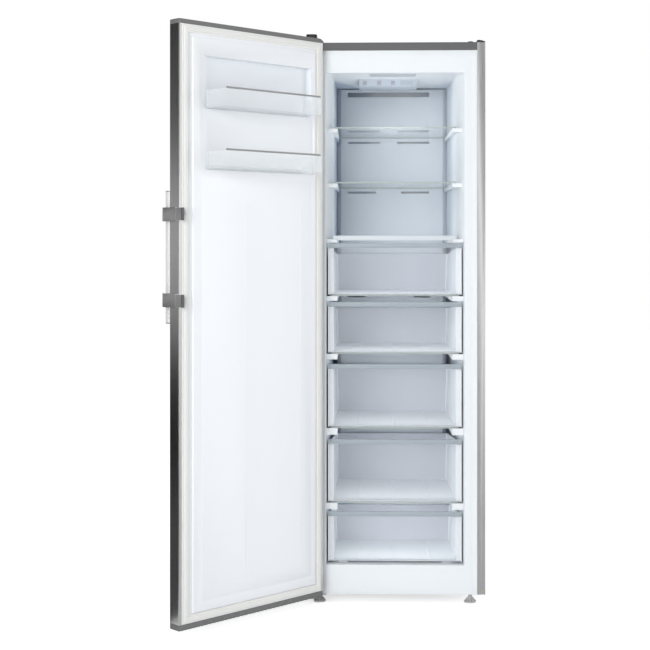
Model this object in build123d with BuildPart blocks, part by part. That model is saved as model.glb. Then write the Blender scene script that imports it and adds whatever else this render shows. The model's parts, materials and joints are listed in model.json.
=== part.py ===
from build123d import *
from math import atan, cos, degrees, pi
import os

# An upright no-frost freezer with its door standing open, in millimetres.
# +Z is up, the front faces -Y, and the origin is on the floor under the cabinet's centre.
# Door pieces are modelled closed and then turned about the hinge pin.

# Overall size
WIDTH = 595.0
DEPTH = 595.0
TOP = 1850.0
BOTTOM = 30.0
HALF = WIDTH / 2
FRONT = -DEPTH / 2
BACK = DEPTH / 2
SHEET = 1.0
GAP = 0.3

# Steel front edge
FLANGE_INNER = 271.0
TOP_FLANGE_Z = 1823.6
REAR_FOLD = 17.5
FLANGE_HOLE_R = 2.5
FLANGE_HOLE_X = 288.0
FLANGE_HOLE_Z = 42.0
FLANGE_NOTCH_R = 5.0

# Liner: half widths, and depths behind the front plane
FRAME_THICK = 2.0
LINER_WALL = 2.0
THROAT_HALF = 229.0
FLARE_DEPTH = 60.0
UPPER_HALF_FRONT = 208.0
UPPER_HALF_BACK = 198.0
LOWER_LEAD = 18.0
LOWER_HALF_FRONT = 226.0
LOWER_HALF_BACK = 213.0
WELL_HALF_BACK = 217.5
LINER_DEPTH = 520.0
WELL_DEPTH = 345.0
FLOOR_Z = 126.0
STEP_Z = 305.0
DIVIDE_Z = 1201.0
CEILING_Z = 1750.0
LINER_CORNER_R = 12.0
FRAME_GROOVE_X = (248.0, 261.0)
FRAME_GROOVE_Z = (60.0, 1800.0)
FRAME_GROOVE_DEPTH = 0.8
LEDGE_INNER = 190.0
LEDGE_OUTER = 240.0
LEDGE_Y = (20.0, 446.0)
LEDGES_Z = ((1555.0, 1568.0), (1373.0, 1386.0), (1189.5, 1201.0), (996.0, 1012.0))
LEDGES_Z += ((802.0, 820.0), (552.0, 574.0), (305.0, 326.0))
RUNNER_X = (158.0, 186.0)
RUNNER_Y = (40.0, 330.0)
RUNNER_Z = (120.0, 132.9)

# Machine bay at the bottom rear
BAY_DEPTH = 390.0
BAY_ROOF_Z = 270.0
PAN_THICK = 1.5
BAY_COVER_HALF = 279.0
BAY_COVER_Z = (33.0, 268.0)
VENT_COUNT = 9
VENT_SIZE = (150.0, 6.0)
VENT_PITCH = 16.0
GLAND_X = 235.0
GLAND_Z = 75.0
GLAND_R = (4.0, 8.0, 11.0)
GLAND_Y = (-10.0, 0.0, 2.0)
GLAND_SIDES = 8
COMPRESSOR_XY = (-20.0, 195.0)
COMPRESSOR_Z = (44.0, 178.0)
COMPRESSOR_LEVELS = ((64.0, 44.0), (76.0, 60.0), (76.0, 140.0), (66.0, 164.0), (44.0, 178.0))
COMPRESSOR_SIDES = 12
COMPRESSOR_PLATE = (210.0, 150.0, 4.0)
COMPRESSOR_FOOT = (82.0, 58.0, 9.0)
TRAY_SIZE = (190.0, 150.0, 26.0)
TRAY_WALL = 2.0

# Air duct, coil and fan behind the compartment
DUCT_FACE = 450.0
DUCT_PROFILE = ((184.0, 450.0), (196.0, 462.0), (196.0, 508.0), (187.0, 519.7))
DUCT_HOLLOW = ((182.5, 453.0), (193.0, 463.5), (193.0, 507.0), (184.5, 518.0), (184.5, 530.0))
DUCT_Z = (312.0, 1746.0)
DUCT_END = 3.0
DUCT_SLOTS = (
    (-160.0, 135.5, 1718.5, 1735.5),
    (-158.6, -42.3, 1590.5, 1598.5),
    (19.4, 135.4, 1590.5, 1598.5),
    (-158.6, -42.3, 1549.0, 1557.0),
    (19.4, 135.4, 1549.0, 1557.0),
    (-158.8, -57.0, 1368.5, 1376.0),
    (33.7, 135.2, 1368.5, 1376.0),
    (-161.0, -95.0, 991.5, 1000.5),
    (79.0, 139.0, 991.5, 1000.5),
)
COIL_X = 165.0
COIL_Y = (458.0, 512.0)
COIL_Z = (640.0, 900.0)
COIL_FINS = 7
COIL_FIN = 1.2
COIL_TUBE = (22.0, 6.0)
COIL_TUBE_ROWS = 2
FAN_Z = 1090.0
FAN_HUB = (14.0, 18.0)
FAN_MID_Y = 478.0
FAN_BLADES = 5
FAN_BLADE = (38.0, 17.0, 1.6)
FAN_BLADE_MID = 33.0
FAN_PITCH = 32.0
SHAFT_R = 2.0
SHAFT_BORE_R = 2.06
FAN_SIDES = 10
MOTOR_R = 25.0
MOTOR_SIDES = 12
MOTOR_Y = (492.0, 517.0)
SHAFT_FRONT_Y = 469.0
MOTOR_PLATE = (130.0, 60.0)

# Ceiling lamp and control panel
LAMP_X = (-81.0, 71.0)
LAMP_Y = (28.0, 88.0)
LAMP_THICK = 3.0
PANEL_X = (-118.0, 82.0)
PANEL_PROFILE = ((170.0, 1750.0), (200.0, 1730.0), (330.0, 1730.0), (330.0, 1750.0))
PANEL_FACE_MID = (186.5, 1739.0)
PANEL_FACE_NORMAL = (0.0, -0.5547, -0.83205)
BUTTON_X = (-98.0, -49.0, -2.0)
BUTTON_SIZE = (12.0, 20.0)
BUTTON_CLEAR = 0.4
BUTTON_PROUD = 2.0
BUTTON_BURIED = 2.6
BUTTON_WELL = 4.8
DISPLAY_X = 45.0
DISPLAY_SIZE = (42.0, 20.0)
DISPLAY_SINK = 1.2
DISPLAY_PROUD = 0.6

# Glass shelves
SHELF_Y = (22.0, 446.0)
UPPER_GLASS_HALF = (203.0, 196.5)
UPPER_GLASS_Z = ((1568.0, 1573.0), (1386.0, 1391.0), (1201.0, 1206.0))
LOWER_GLASS_HALF = (213.0, 204.0)
LOWER_GLASS_Z = ((1012.0, 1016.5), (820.0, 824.5), (574.0, 578.5), (326.0, 330.5))
TRIM_HALF = 204.0
TRIM_Y = (14.0, 26.0)
TRIM_Z = (1201.3, 1213.0)
TRIM_LIP_HALF = 188.0
TRIM_LIP_Z = 1197.0
TRIM_ROUND = 2.0

# Drawers: front panel bottom and top, tub depth
DRAWERS = (
    (1017.0, 1188.0, 436.0),
    (825.0, 993.0, 436.0),
    (579.0, 787.0, 436.0),
    (331.0, 538.0, 436.0),
    (133.0, 299.0, 335.0),
)
DRAWER_FRONT_HALF = 221.0
DRAWER_FRONT_Y = (22.0, 26.0)
GRIP_Y = (13.0, 26.0)
GRIP_HEIGHT = 16.0
GRIP_ROUND = 4.0
FRONT_RIB = 6.0
TUB_FRONT_Y = 26.3
TUB_HALF = (216.0, 203.0)
TUB_DRAFT = 7.0
TUB_WALL = 2.5
TUB_FLOOR = 3.0
TUB_TOP_DROP = 12.0
TUB_LIFT = 0.4
RIM_WIDTH = 4.0
RIM_THICK = 3.0
TUB_POST = 9.0
NOTCH_Y = (405.0, 421.0)
NOTCH_DEPTH = 5.0
TUB_RIB_X = (-120.0, 0.0, 120.0)
TUB_RIB = (6.0, 1.5)
SKIRT_X = (150.0, 200.0)
SKIRT_DROP = 5.5

# Feet and rollers
FOOT_X = 249.0
FOOT_Y = 22.0
FOOT_SIDES = 20
FOOT_PAD = ((19.3, 0.0), (20.0, 5.5))
FOOT_CORE = ((9.5, 5.5), (6.5, 19.0), (6.5, 24.0))
FOOT_RIB = ((-18.5, 5.5), (18.5, 5.5), (13.5, 12.5), (6.5, 18.5), (-6.5, 18.5), (-13.5, 12.5))
FOOT_RIB_THICK = 3.0
FOOT_RIB_PAIRS = 4
FOOT_STEM_R = 4.0
FOOT_STEM_Z = (24.0, 46.0)
FOOT_BORE_R = 4.06
BOSS_R = 9.0
BOSS_Z = 44.0
BOSS_ROOM_Z = 50.0
ROLLER_X = 240.0
ROLLER_Y = 550.0
ROLLER_R = 12.0
ROLLER_SIDES = 24
ROLLER_WIDTH = 14.0
ROLLER_BORE_R = 3.05
AXLE_R = 3.0
FORK_INNER = 8.5
FORK_OUTER = 10.5
FORK_HALF = 11.0
FORK_LOW_Z = 6.0
FORK_PLATE = 2.0

# Hinges
PIN_X = -273.0
PIN_Y = FRONT - 37.0
PIN_R = 5.0
PIN_BORE_R = 5.06
PIN_HEAD = (8.0, 2.5)
TOP_PIN_Z = (1830.0, 1860.0)
BOTTOM_PIN_Z = (26.0, 57.0)
TOP_PLATE_X = (-290.0, -242.0)
TOP_PLATE_Y = (8.0, 72.0)
TOP_PLATE_THICK = 3.0
TOP_ARM_Z = (1857.0, 1860.0)
TOP_RISER_Y = (2.5, 8.0)
ARM_HALF = 14.0
LOW_PLATE_X = (-290.0, -226.0)
LOW_PLATE_Z = (26.0, 30.0)
LOW_PLATE_DEPTH = 66.0
LOW_FOOT_HOLE_R = 5.0
SCREW_R = 3.0
SCREW_HEAD = (5.0, 4.0)
SCREW_SIDES = 6
HOLE_SIDES = 8
SCREW_LENGTH = 14.0
TOP_SCREWS = ((-279.0, 38.0), (-254.0, 38.0))
LOW_SCREWS = ((-276.0, 54.0), (-236.0, 54.0))
SCREW_ROOM_R = 4.0
COVER_ARM_X = (-291.0, -256.0)
COVER_ARM_Z = (1857.3, 1870.0)
COVER_WALL = 2.0
COVER_NOSE_R = 12.0
COVER_END_Y = 77.0
COVER_START_Y = 0.5
COVER_PROFILE = (
    (-292.0, 1850.3), (-292.0, 1870.0), (-262.0, 1870.0), (-236.0, 1854.0), (-236.0, 1850.3),
)
COVER_HOLLOW = (
    (-290.0, 1850.0), (-290.0, 1867.8), (-262.8, 1867.8), (-238.0, 1852.8), (-238.0, 1850.0),
)
PLUG_XY = (251.0, 26.0)
PLUG_R = 10.0
PLUG_SIDES = 20
PLUG_HEIGHT = 5.5
PLUG_ROUND = 2.5
CORNER_CAP = (
    (270.0, 1850.0), (297.5, 1850.0), (297.5, 1851.5), (290.0, 1855.0), (277.0, 1857.5), (270.0, 1856.0),
)
CORNER_CAP_DEPTH = 28.0

# Door, drawn closed
DOOR_OPEN = 134.5
DOOR_OUTER_Y = FRONT - 55.0
DOOR_INNER_Y = FRONT - 7.0
DOOR_Z = (33.0, 1856.0)
DOOR_CORNER_R = 6.0
SKIN_RETURN = 11.0
TOP_CAP = 14.0
BOTTOM_CAP = 18.0
CAP_WALL = 2.5
CAP_EDGE = 1.5
BUSH_R = 8.0
BUSH_PRESS = 7.98
CAP_END_SLOPE = (14.0, 7.0)
CAP_BOSS_HALF = 12.0
CAP_BOSS = 28.0
BOSS_CLEAR = 12.4
PLATEAU_X = (-258.5, 248.5)
PLATEAU_Z = (80.0, 1805.0)
PLATEAU_Y = FRONT - 1.5
PLATEAU_ROUND = 3.0
UPPER_POCKET = ((-237.5, 1.5), (-235.5, 22.0), (175.5, 22.0), (216.5, 1.5))
UPPER_POCKET_Z = (1594.0, 1753.0)
LOWER_POCKET = ((-251.0, 1.5), (-249.0, 9.0), (185.5, 9.0), (216.5, 1.5))
LOWER_POCKET_Z = (1409.0, 1594.0)
DOOR_RIB_X = (43.5, -190.5)
DOOR_RIB = (5.0, 1.0)
DOOR_RIB_Z = (150.0, 1312.0)
DOOR_PAD_X = (-235.0, 215.0)
DOOR_PAD_Z = (110.0, 1385.0)
DOOR_PAD_Y = 0.6

# Gasket, measured inwards from the door's edges
GASKET_EDGE = 12.5
GASKET_WIDTH = 24.0
GASKET_BASE = 3.0
GASKET_LIP = 10.0
GASKET_FRONT = 6.4
GASKET_Z = (53.0, 1840.0)

# Door racks
RACK_PLAN = ((-206.5, 83.0), (195.5, 83.0), (195.5, -6.0), (184.5, -8.7), (-206.5, -8.7))
RACK_ROOM = ((-204.0, 80.5), (193.0, 80.5), (193.0, -4.2), (184.1, -6.2), (-204.0, -6.2))
RACK_MOUTH_Y = (-12.0, -6.0)
RACK_BACK_LIP = 14.0
RACK_HEIGHT = 55.0
RACK_Z = (1594.3, 1409.3)
RACK_FLOOR = 3.0
RACK_ROUND = 8.0
RACK_TRIM = (4.0, 5.5)

# Handle
BAR_XY = (260.5, FRONT - 101.0)
BAR_R = 12.0
BAR_Z = (946.0, 1343.0)
BAR_CAP = 3.0
BAR_HOLE_R = 12.05
BRACKET_Z = (1273.5, 1015.5)
BRACKET_HEIGHT = 41.0
BRACKET_PLAN = (
    (297.5, -12.0), (306.5, -12.0), (306.5, -70.0), (300.5, -82.0), (294.5, -92.0), (286.5, -103.0),
    (278.5, -111.0), (270.0, -115.5), (260.5, -116.5), (260.5, -86.0), (278.5, -82.5), (291.0, -65.0),
    (297.5, -57.0),
)
BRACKET_RING_R = 15.5
NECK_X = (298.7, 305.8)
NECK_Y = (-12.0, 13.0)
NECK_HEIGHT = 37.0
NOSE_X = (298.9, 306.6)
NOSE_DEPTH = 7.0
NOSE_HEIGHT = 38.0


def both_sides(points):
    """Whole plan from the half plan on the +X side, with y counted from the front plane."""
    right = [(x, FRONT + y) for x, y in points]
    return right + [(-x, y) for x, y in reversed(right)]


def prism(points, z, mode=Mode.ADD):
    """Plan polygon raised between two heights in the active part."""
    with BuildSketch(Plane.XY.offset(z[0])) as plan:
        with BuildLine():
            Polyline(*points, close=True)
        make_face()
    extrude(plan.sketch, amount=z[1] - z[0], mode=mode)


def block(x, y, z, mode=Mode.ADD):
    """Box between three pairs of coordinates in the active part."""
    with BuildSketch(Plane.XY.offset(z[0])) as plan:
        with Locations(((x[0] + x[1]) / 2, (y[0] + y[1]) / 2)):
            Rectangle(x[1] - x[0], y[1] - y[0])
    extrude(plan.sketch, amount=z[1] - z[0], mode=mode)


def pillar(centre, radius, z, mode=Mode.ADD):
    """Upright cylinder between two heights in the active part."""
    with BuildSketch(Plane.XY.offset(z[0])) as plan:
        with Locations(centre):
            Circle(radius)
    extrude(plan.sketch, amount=z[1] - z[0], mode=mode)


def faceted(centre, radius, sides, z, mode=Mode.ADD):
    """Upright polygonal post between two heights in the active part."""
    with BuildSketch(Plane.XY.offset(z[0])) as plan:
        with Locations(centre):
            RegularPolygon(radius, sides)
    extrude(plan.sketch, amount=z[1] - z[0], mode=mode)


def stacked(centre, sides, levels):
    """Turned shape in flats: a polygon raised from each (radius, height) and tapered to the next."""
    for (low_r, low_z), (high_r, high_z) in zip(levels, levels[1:]):
        with BuildSketch(Plane.XY.offset(low_z)) as ring:
            with Locations(centre):
                RegularPolygon(low_r, sides)
        flat_shift = (low_r - high_r) * cos(pi / sides)
        taper = degrees(atan(flat_shift / (high_z - low_z)))
        extrude(ring.sketch, amount=high_z - low_z, taper=taper)


def drafted(low_plan, high_plan, z, mode=Mode.ADD):
    """Moulded taper: one plan polygon lofted up to another between two heights."""
    with BuildSketch(Plane.XY.offset(z[0])) as low_face:
        with BuildLine():
            Polyline(*low_plan, close=True)
        make_face()
    with BuildSketch(Plane.XY.offset(z[1])) as high_face:
        with BuildLine():
            Polyline(*high_plan, close=True)
        make_face()
    loft([low_face.sketch, high_face.sketch], ruled=True, mode=mode)


def recess(centre, reach, z):
    """Square hole that clears a round piece between two heights in the active part."""
    x = (centre[0] - reach, centre[0] + reach)
    y = (centre[1] - reach, centre[1] + reach)
    block(x, y, z, mode=Mode.SUBTRACT)


def lengthwise(points, x, mode=Mode.ADD):
    """Side profile (y, z) drawn along X between two positions in the active part."""
    with BuildSketch(Plane.YZ.offset(x[0])) as side:
        with BuildLine():
            Polyline(*points, close=True)
        make_face()
    extrude(side.sketch, amount=x[1] - x[0], mode=mode)


def crosswise(points, y, mode=Mode.ADD):
    """Front profile (x, z) drawn along Y between two positions in the active part."""
    with BuildSketch(Plane.XZ.offset(-y[0])) as face:
        with BuildLine():
            Polyline(*points, close=True)
        make_face()
    extrude(face.sketch, amount=y[0] - y[1], mode=mode)


def from_front(pair):
    """Two depths behind the front plane as y coordinates."""
    return (FRONT + pair[0], FRONT + pair[1])


def save(part, name):
    part.label = name
    export_step(part, f"parts/{name}.step")


def save_door(part, name):
    """Turns a door piece from closed to its open rest position and writes it."""
    save(part.rotate(Axis((PIN_X, PIN_Y, 0), (0, 0, 1)), -DOOR_OPEN), name)


def interior(grow):
    """Free space inside the liner, grown outwards by a wall thickness."""
    back = LINER_DEPTH + grow
    mouth = [(THROAT_HALF + grow, 0)]
    upper = mouth + [(UPPER_HALF_FRONT + grow, FLARE_DEPTH), (UPPER_HALF_BACK + grow, back)]
    lead = mouth + [(LOWER_HALF_FRONT + grow, LOWER_LEAD)]
    lower = lead + [(LOWER_HALF_BACK + grow, back)]
    well = lead + [(WELL_HALF_BACK + grow, WELL_DEPTH + grow)]
    with BuildPart() as space:
        prism(both_sides(upper), (DIVIDE_Z - grow, CEILING_Z + grow))
        prism(both_sides(lower), (STEP_Z - grow, DIVIDE_Z + grow))
        prism(both_sides(well), (FLOOR_Z - grow, STEP_Z))
    return space.part


os.makedirs("parts", exist_ok=True)

# ---------------------------------------------------------------- cabinet sheets
for side_name, hand in (("left", -1), ("right", 1)):
    outer = sorted((hand * (HALF - SHEET), hand * HALF))
    front_flange = sorted((hand * FLANGE_INNER, hand * HALF))
    rear_flange = sorted((hand * (HALF - REAR_FOLD), hand * HALF))
    with BuildPart() as side_panel:
        block(outer, (FRONT, BACK), (BOTTOM, TOP - SHEET))
        block(front_flange, (FRONT, FRONT + SHEET), (BOTTOM, TOP - SHEET))
        block(rear_flange, (BACK - SHEET, BACK), (BOTTOM, TOP - SHEET))
        with BuildSketch(Plane.XZ.offset(-FRONT)):
            with Locations((hand * FLANGE_HOLE_X, FLANGE_HOLE_Z)):
                Circle(FLANGE_HOLE_R)
            with Locations((hand * FLANGE_HOLE_X, BOTTOM)):
                Circle(FLANGE_NOTCH_R)
        extrude(amount=-SHEET, mode=Mode.SUBTRACT)
    save(side_panel.part, f"side_panel_{side_name}")

with BuildPart() as top_panel:
    block((-HALF, HALF), (FRONT, BACK), (TOP - SHEET, TOP))
    fold = FLANGE_INNER - GAP
    block((-fold, fold), (FRONT, FRONT + SHEET), (TOP_FLANGE_Z, TOP))
    for x, y in TOP_SCREWS:
        faceted((x, FRONT + y), SCREW_R + GAP, HOLE_SIDES, (TOP - SHEET, TOP), mode=Mode.SUBTRACT)
save(top_panel.part, "top_panel")

rear_half = HALF - REAR_FOLD - GAP
with BuildPart() as back_panel:
    block((-rear_half, rear_half), (BACK - SHEET, BACK), (BAY_ROOF_Z + PAN_THICK, TOP - SHEET))
save(back_panel.part, "back_panel")

bay_front = FRONT + BAY_DEPTH
pan_half = HALF - SHEET - GAP
pan_back = BACK - SHEET - GAP
with BuildPart() as base_pan:
    block((-pan_half, pan_half), (FRONT + FRAME_THICK + GAP, pan_back), (BOTTOM, BOTTOM + PAN_THICK))
    block((-pan_half, pan_half), (bay_front, bay_front + PAN_THICK), (BOTTOM, BAY_ROOF_Z + PAN_THICK))
    block((-pan_half, pan_half), (bay_front, pan_back), (BAY_ROOF_Z, BAY_ROOF_Z + PAN_THICK))
    for x in (-FOOT_X, FOOT_X):
        faceted((x, FRONT + FOOT_Y), BOSS_R, HOLE_SIDES, (BOTTOM, BOSS_Z))
        pillar((x, FRONT + FOOT_Y), FOOT_BORE_R, (BOTTOM, BOSS_Z), mode=Mode.SUBTRACT)
    for x, y in LOW_SCREWS:
        faceted((x, FRONT + y), SCREW_R + GAP, HOLE_SIDES, (BOTTOM, BOTTOM + PAN_THICK), mode=Mode.SUBTRACT)
save(base_pan.part, "base_pan")

# ---------------------------------------------------------------- liner and insulation
with BuildPart() as free_space:
    add(interior(0))
    rear = free_space.edges().filter_by(Axis.Z).group_by(Axis.Y)[-1]
    fillet(rear, LINER_CORNER_R)
    for low, high in LEDGES_Z:
        for hand in (-1, 1):
            span = sorted((hand * LEDGE_INNER, hand * LEDGE_OUTER))
            block(span, from_front(LEDGE_Y), (low, high), mode=Mode.SUBTRACT)
    for hand in (-1, 1):
        span = sorted((hand * RUNNER_X[0], hand * RUNNER_X[1]))
        block(span, from_front(RUNNER_Y), RUNNER_Z, mode=Mode.SUBTRACT)

frame_half = FLANGE_INNER - GAP
with BuildPart() as inner_liner:
    add(interior(LINER_WALL))
    block((-frame_half, frame_half), (FRONT, FRONT + FRAME_THICK), (BOTTOM, TOP_FLANGE_Z - GAP))
    add(free_space.part, mode=Mode.SUBTRACT)
    for hand in (-1, 1):
        span = sorted((hand * FRAME_GROOVE_X[0], hand * FRAME_GROOVE_X[1]))
        block(span, (FRONT, FRONT + FRAME_GROOVE_DEPTH), FRAME_GROOVE_Z, mode=Mode.SUBTRACT)
save(inner_liner.part, "inner_liner")

with BuildPart() as cabinet_foam:
    foam_front = FRONT + FRAME_THICK + GAP
    foam_low = BOTTOM + PAN_THICK + GAP
    block((-pan_half, pan_half), (foam_front, pan_back), (foam_low, TOP - SHEET - GAP))
    add(interior(LINER_WALL + GAP), mode=Mode.SUBTRACT)
    bay = (bay_front - GAP, BACK)
    block((-HALF, HALF), bay, (BOTTOM, BAY_ROOF_Z + PAN_THICK + GAP), mode=Mode.SUBTRACT)
    for x in (-FOOT_X, FOOT_X):
        recess((x, FRONT + FOOT_Y), BOSS_R + GAP, (BOTTOM, BOSS_ROOM_Z))
    for x, y in TOP_SCREWS:
        recess((x, FRONT + y), SCREW_ROOM_R, (TOP + TOP_PLATE_THICK - SCREW_LENGTH - GAP, TOP))
    for x, y in LOW_SCREWS:
        recess((x, FRONT + y), SCREW_ROOM_R, (BOTTOM, LOW_PLATE_Z[0] + SCREW_LENGTH + GAP))
save(cabinet_foam.part, "cabinet_foam")

# ---------------------------------------------------------------- duct, coil and fan
with BuildPart() as duct_cover:
    prism(both_sides(DUCT_PROFILE), DUCT_Z)
    prism(both_sides(DUCT_HOLLOW), (DUCT_Z[0] + DUCT_END, DUCT_Z[1] - DUCT_END), mode=Mode.SUBTRACT)
    face_wall = from_front((DUCT_FACE, DUCT_FACE + LINER_WALL + SHEET))
    for x0, x1, z0, z1 in DUCT_SLOTS:
        block((x0, x1), face_wall, (z0, z1), mode=Mode.SUBTRACT)
save(duct_cover.part, "duct_cover")

fin_pitch = 2 * COIL_X / COIL_FINS
tube_pitch = (COIL_Z[1] - COIL_Z[0]) / COIL_TUBE_ROWS
with BuildPart() as evaporator:
    for index in range(COIL_FINS):
        x = -COIL_X + (index + 0.5) * fin_pitch
        block((x, x + COIL_FIN), from_front(COIL_Y), COIL_Z)
    with BuildSketch(Plane.YZ.offset(-COIL_X)):
        with Locations((FRONT + sum(COIL_Y) / 2, sum(COIL_Z) / 2)):
            with GridLocations(0, tube_pitch, 1, COIL_TUBE_ROWS):
                Rectangle(*COIL_TUBE)
    extrude(amount=2 * COIL_X)
save(evaporator.part, "evaporator")

with BuildPart() as fan_motor:
    with BuildSketch(Plane.XZ.offset(-(FRONT + SHAFT_FRONT_Y))):
        with Locations((0, FAN_Z)):
            Circle(SHAFT_R)
    extrude(amount=SHAFT_FRONT_Y - MOTOR_Y[1])
    with BuildSketch(Plane.XZ.offset(-(FRONT + MOTOR_Y[0]))):
        with Locations((0, FAN_Z)):
            RegularPolygon(MOTOR_R, MOTOR_SIDES)
    extrude(amount=MOTOR_Y[0] - MOTOR_Y[1])
    plate_x = (-MOTOR_PLATE[0] / 2, MOTOR_PLATE[0] / 2)
    plate_z = (FAN_Z - MOTOR_PLATE[1] / 2, FAN_Z + MOTOR_PLATE[1] / 2)
    block(plate_x, from_front((MOTOR_Y[1], LINER_DEPTH - GAP)), plate_z)
save(fan_motor.part, "fan_motor")

fan_plane = Plane((0, FRONT + FAN_MID_Y, FAN_Z), x_dir=(1, 0, 0), z_dir=(0, -1, 0))
with BuildPart(fan_plane) as fan_blades:
    with BuildSketch(fan_plane.offset(-FAN_HUB[1] / 2)):
        RegularPolygon(FAN_HUB[0], FAN_SIDES)
    extrude(amount=FAN_HUB[1])
    with PolarLocations(FAN_BLADE_MID - SHEET, FAN_BLADES):
        Box(*FAN_BLADE, rotation=(FAN_PITCH, 0, 0))
    Cylinder(SHAFT_BORE_R, FAN_HUB[1], mode=Mode.SUBTRACT)
save(fan_blades.part, "fan_blades")

# ---------------------------------------------------------------- machine bay
with BuildPart() as compressor:
    cx, cy = COMPRESSOR_XY
    stacked((cx, cy), COMPRESSOR_SIDES, COMPRESSOR_LEVELS)
    half_x, half_y = COMPRESSOR_PLATE[0] / 2, COMPRESSOR_PLATE[1] / 2
    plate_low = COMPRESSOR_Z[0] - COMPRESSOR_PLATE[2]
    block((cx - half_x, cx + half_x), (cy - half_y, cy + half_y), (plate_low, COMPRESSOR_Z[0] + SHEET))
    for dx in (-COMPRESSOR_FOOT[0], COMPRESSOR_FOOT[0]):
        for dy in (-COMPRESSOR_FOOT[1], COMPRESSOR_FOOT[1]):
            faceted((cx + dx, cy + dy), COMPRESSOR_FOOT[2], HOLE_SIDES, (BOTTOM + PAN_THICK, plate_low))
save(compressor.part, "compressor")

tray_low = COMPRESSOR_Z[1]
with BuildPart() as drip_tray:
    half_x, half_y = TRAY_SIZE[0] / 2, TRAY_SIZE[1] / 2
    block((cx - half_x, cx + half_x), (cy - half_y, cy + half_y), (tray_low, tray_low + TRAY_SIZE[2]))
    hollow_x = (cx - half_x + TRAY_WALL, cx + half_x - TRAY_WALL)
    hollow_y = (cy - half_y + TRAY_WALL, cy + half_y - TRAY_WALL)
    block(hollow_x, hollow_y, (tray_low + TRAY_WALL, tray_low + TRAY_SIZE[2]), mode=Mode.SUBTRACT)
save(drip_tray.part, "drip_tray")

with BuildPart() as bay_cover:
    block((-BAY_COVER_HALF, BAY_COVER_HALF), (BACK - SHEET, BACK), BAY_COVER_Z)
    vent_mid = (BAY_COVER_Z[0] + BAY_COVER_Z[1]) / 2
    with BuildSketch(Plane.XZ.offset(-(BACK - SHEET))):
        with Locations((-VENT_SIZE[0], vent_mid), (VENT_SIZE[0] / 2, vent_mid)):
            with GridLocations(0, VENT_PITCH, 1, VENT_COUNT):
                Rectangle(*VENT_SIZE)
        with Locations((GLAND_X, GLAND_Z)):
            RegularPolygon(GLAND_R[1], GLAND_SIDES)
    extrude(amount=-SHEET, mode=Mode.SUBTRACT)
save(bay_cover.part, "bay_cover")

with BuildPart() as cord_gland:
    for inner_y, radius in ((GLAND_Y[0], GLAND_R[1]), (GLAND_Y[1], GLAND_R[2])):
        with BuildSketch(Plane.XZ.offset(-(BACK + inner_y))):
            with Locations((GLAND_X, GLAND_Z)):
                RegularPolygon(radius, GLAND_SIDES)
        extrude(amount=inner_y - GLAND_Y[2])
    with BuildSketch(Plane.XZ.offset(-(BACK + GLAND_Y[0]))):
        with Locations((GLAND_X, GLAND_Z)):
            RegularPolygon(GLAND_R[0], GLAND_SIDES)
    extrude(amount=GLAND_Y[0] - GLAND_Y[2], mode=Mode.SUBTRACT)
save(cord_gland.part, "cord_gland")

# ---------------------------------------------------------------- ceiling lamp and control panel
with BuildPart() as light_lens:
    block(LAMP_X, from_front(LAMP_Y), (CEILING_Z - LAMP_THICK, CEILING_Z))
    fillet(light_lens.edges().group_by(Axis.Z)[0], LAMP_THICK / 3)
save(light_lens.part, "light_lens")


def face_plane(x):
    """Plane on the sloping control face, facing out of it."""
    spot = (x, FRONT + PANEL_FACE_MID[0], PANEL_FACE_MID[1])
    return Plane(spot, x_dir=(1, 0, 0), z_dir=PANEL_FACE_NORMAL)


with BuildPart() as control_housing:
    lengthwise([(FRONT + y, z) for y, z in PANEL_PROFILE], PANEL_X)
    for x in BUTTON_X:
        with BuildSketch(face_plane(x)):
            Rectangle(BUTTON_SIZE[0] + 2 * BUTTON_CLEAR, BUTTON_SIZE[1] + 2 * BUTTON_CLEAR)
        extrude(amount=-BUTTON_WELL, mode=Mode.SUBTRACT)
    with BuildSketch(face_plane(DISPLAY_X)):
        Rectangle(DISPLAY_SIZE[0] + GAP, DISPLAY_SIZE[1] + GAP)
    extrude(amount=-DISPLAY_SINK, mode=Mode.SUBTRACT)
save(control_housing.part, "control_housing")

for number, x in enumerate(BUTTON_X, 1):
    with BuildPart() as button:
        with BuildSketch(face_plane(x).offset(-BUTTON_BURIED)):
            Rectangle(*BUTTON_SIZE)
        extrude(amount=BUTTON_BURIED + BUTTON_PROUD)
        fillet(button.faces().sort_by(Axis((0, 0, 0), PANEL_FACE_NORMAL))[-1].edges(), SHEET)
    save(button.part, f"button_{number}")

with BuildPart() as display_lens:
    with BuildSketch(face_plane(DISPLAY_X).offset(-DISPLAY_SINK)):
        Rectangle(*DISPLAY_SIZE)
    extrude(amount=DISPLAY_SINK + DISPLAY_PROUD)
save(display_lens.part, "display_lens")

# ---------------------------------------------------------------- glass shelves
for plate_name, half_widths, heights in (
    ("upper_shelves", UPPER_GLASS_HALF, UPPER_GLASS_Z),
    ("drawer_shelves", LOWER_GLASS_HALF, LOWER_GLASS_Z),
):
    plate_plan = both_sides(tuple(zip(half_widths, SHELF_Y)))
    with BuildPart() as plates:
        for levels in heights:
            prism(plate_plan, levels)
    save(plates.part, plate_name)

with BuildPart() as shelf_trim:
    block((-TRIM_HALF, TRIM_HALF), from_front(TRIM_Y), TRIM_Z)
    fillet(shelf_trim.edges().filter_by(Axis.X).group_by(Axis.Z)[-1], TRIM_ROUND)
    block((-TRIM_LIP_HALF, TRIM_LIP_HALF), from_front(TRIM_Y), (TRIM_LIP_Z, TRIM_Z[0]))
    block((-HALF, HALF), from_front((SHELF_Y[0], TRIM_Y[1])), UPPER_GLASS_Z[2], mode=Mode.SUBTRACT)
save(shelf_trim.part, "shelf_trim")

# ---------------------------------------------------------------- drawers


def narrowed(points):
    """Floor plan of a tub from its top half plan: drawn in at the sides by the draft."""
    return both_sides([(x - TUB_DRAFT, y) for x, y in points])


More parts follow.
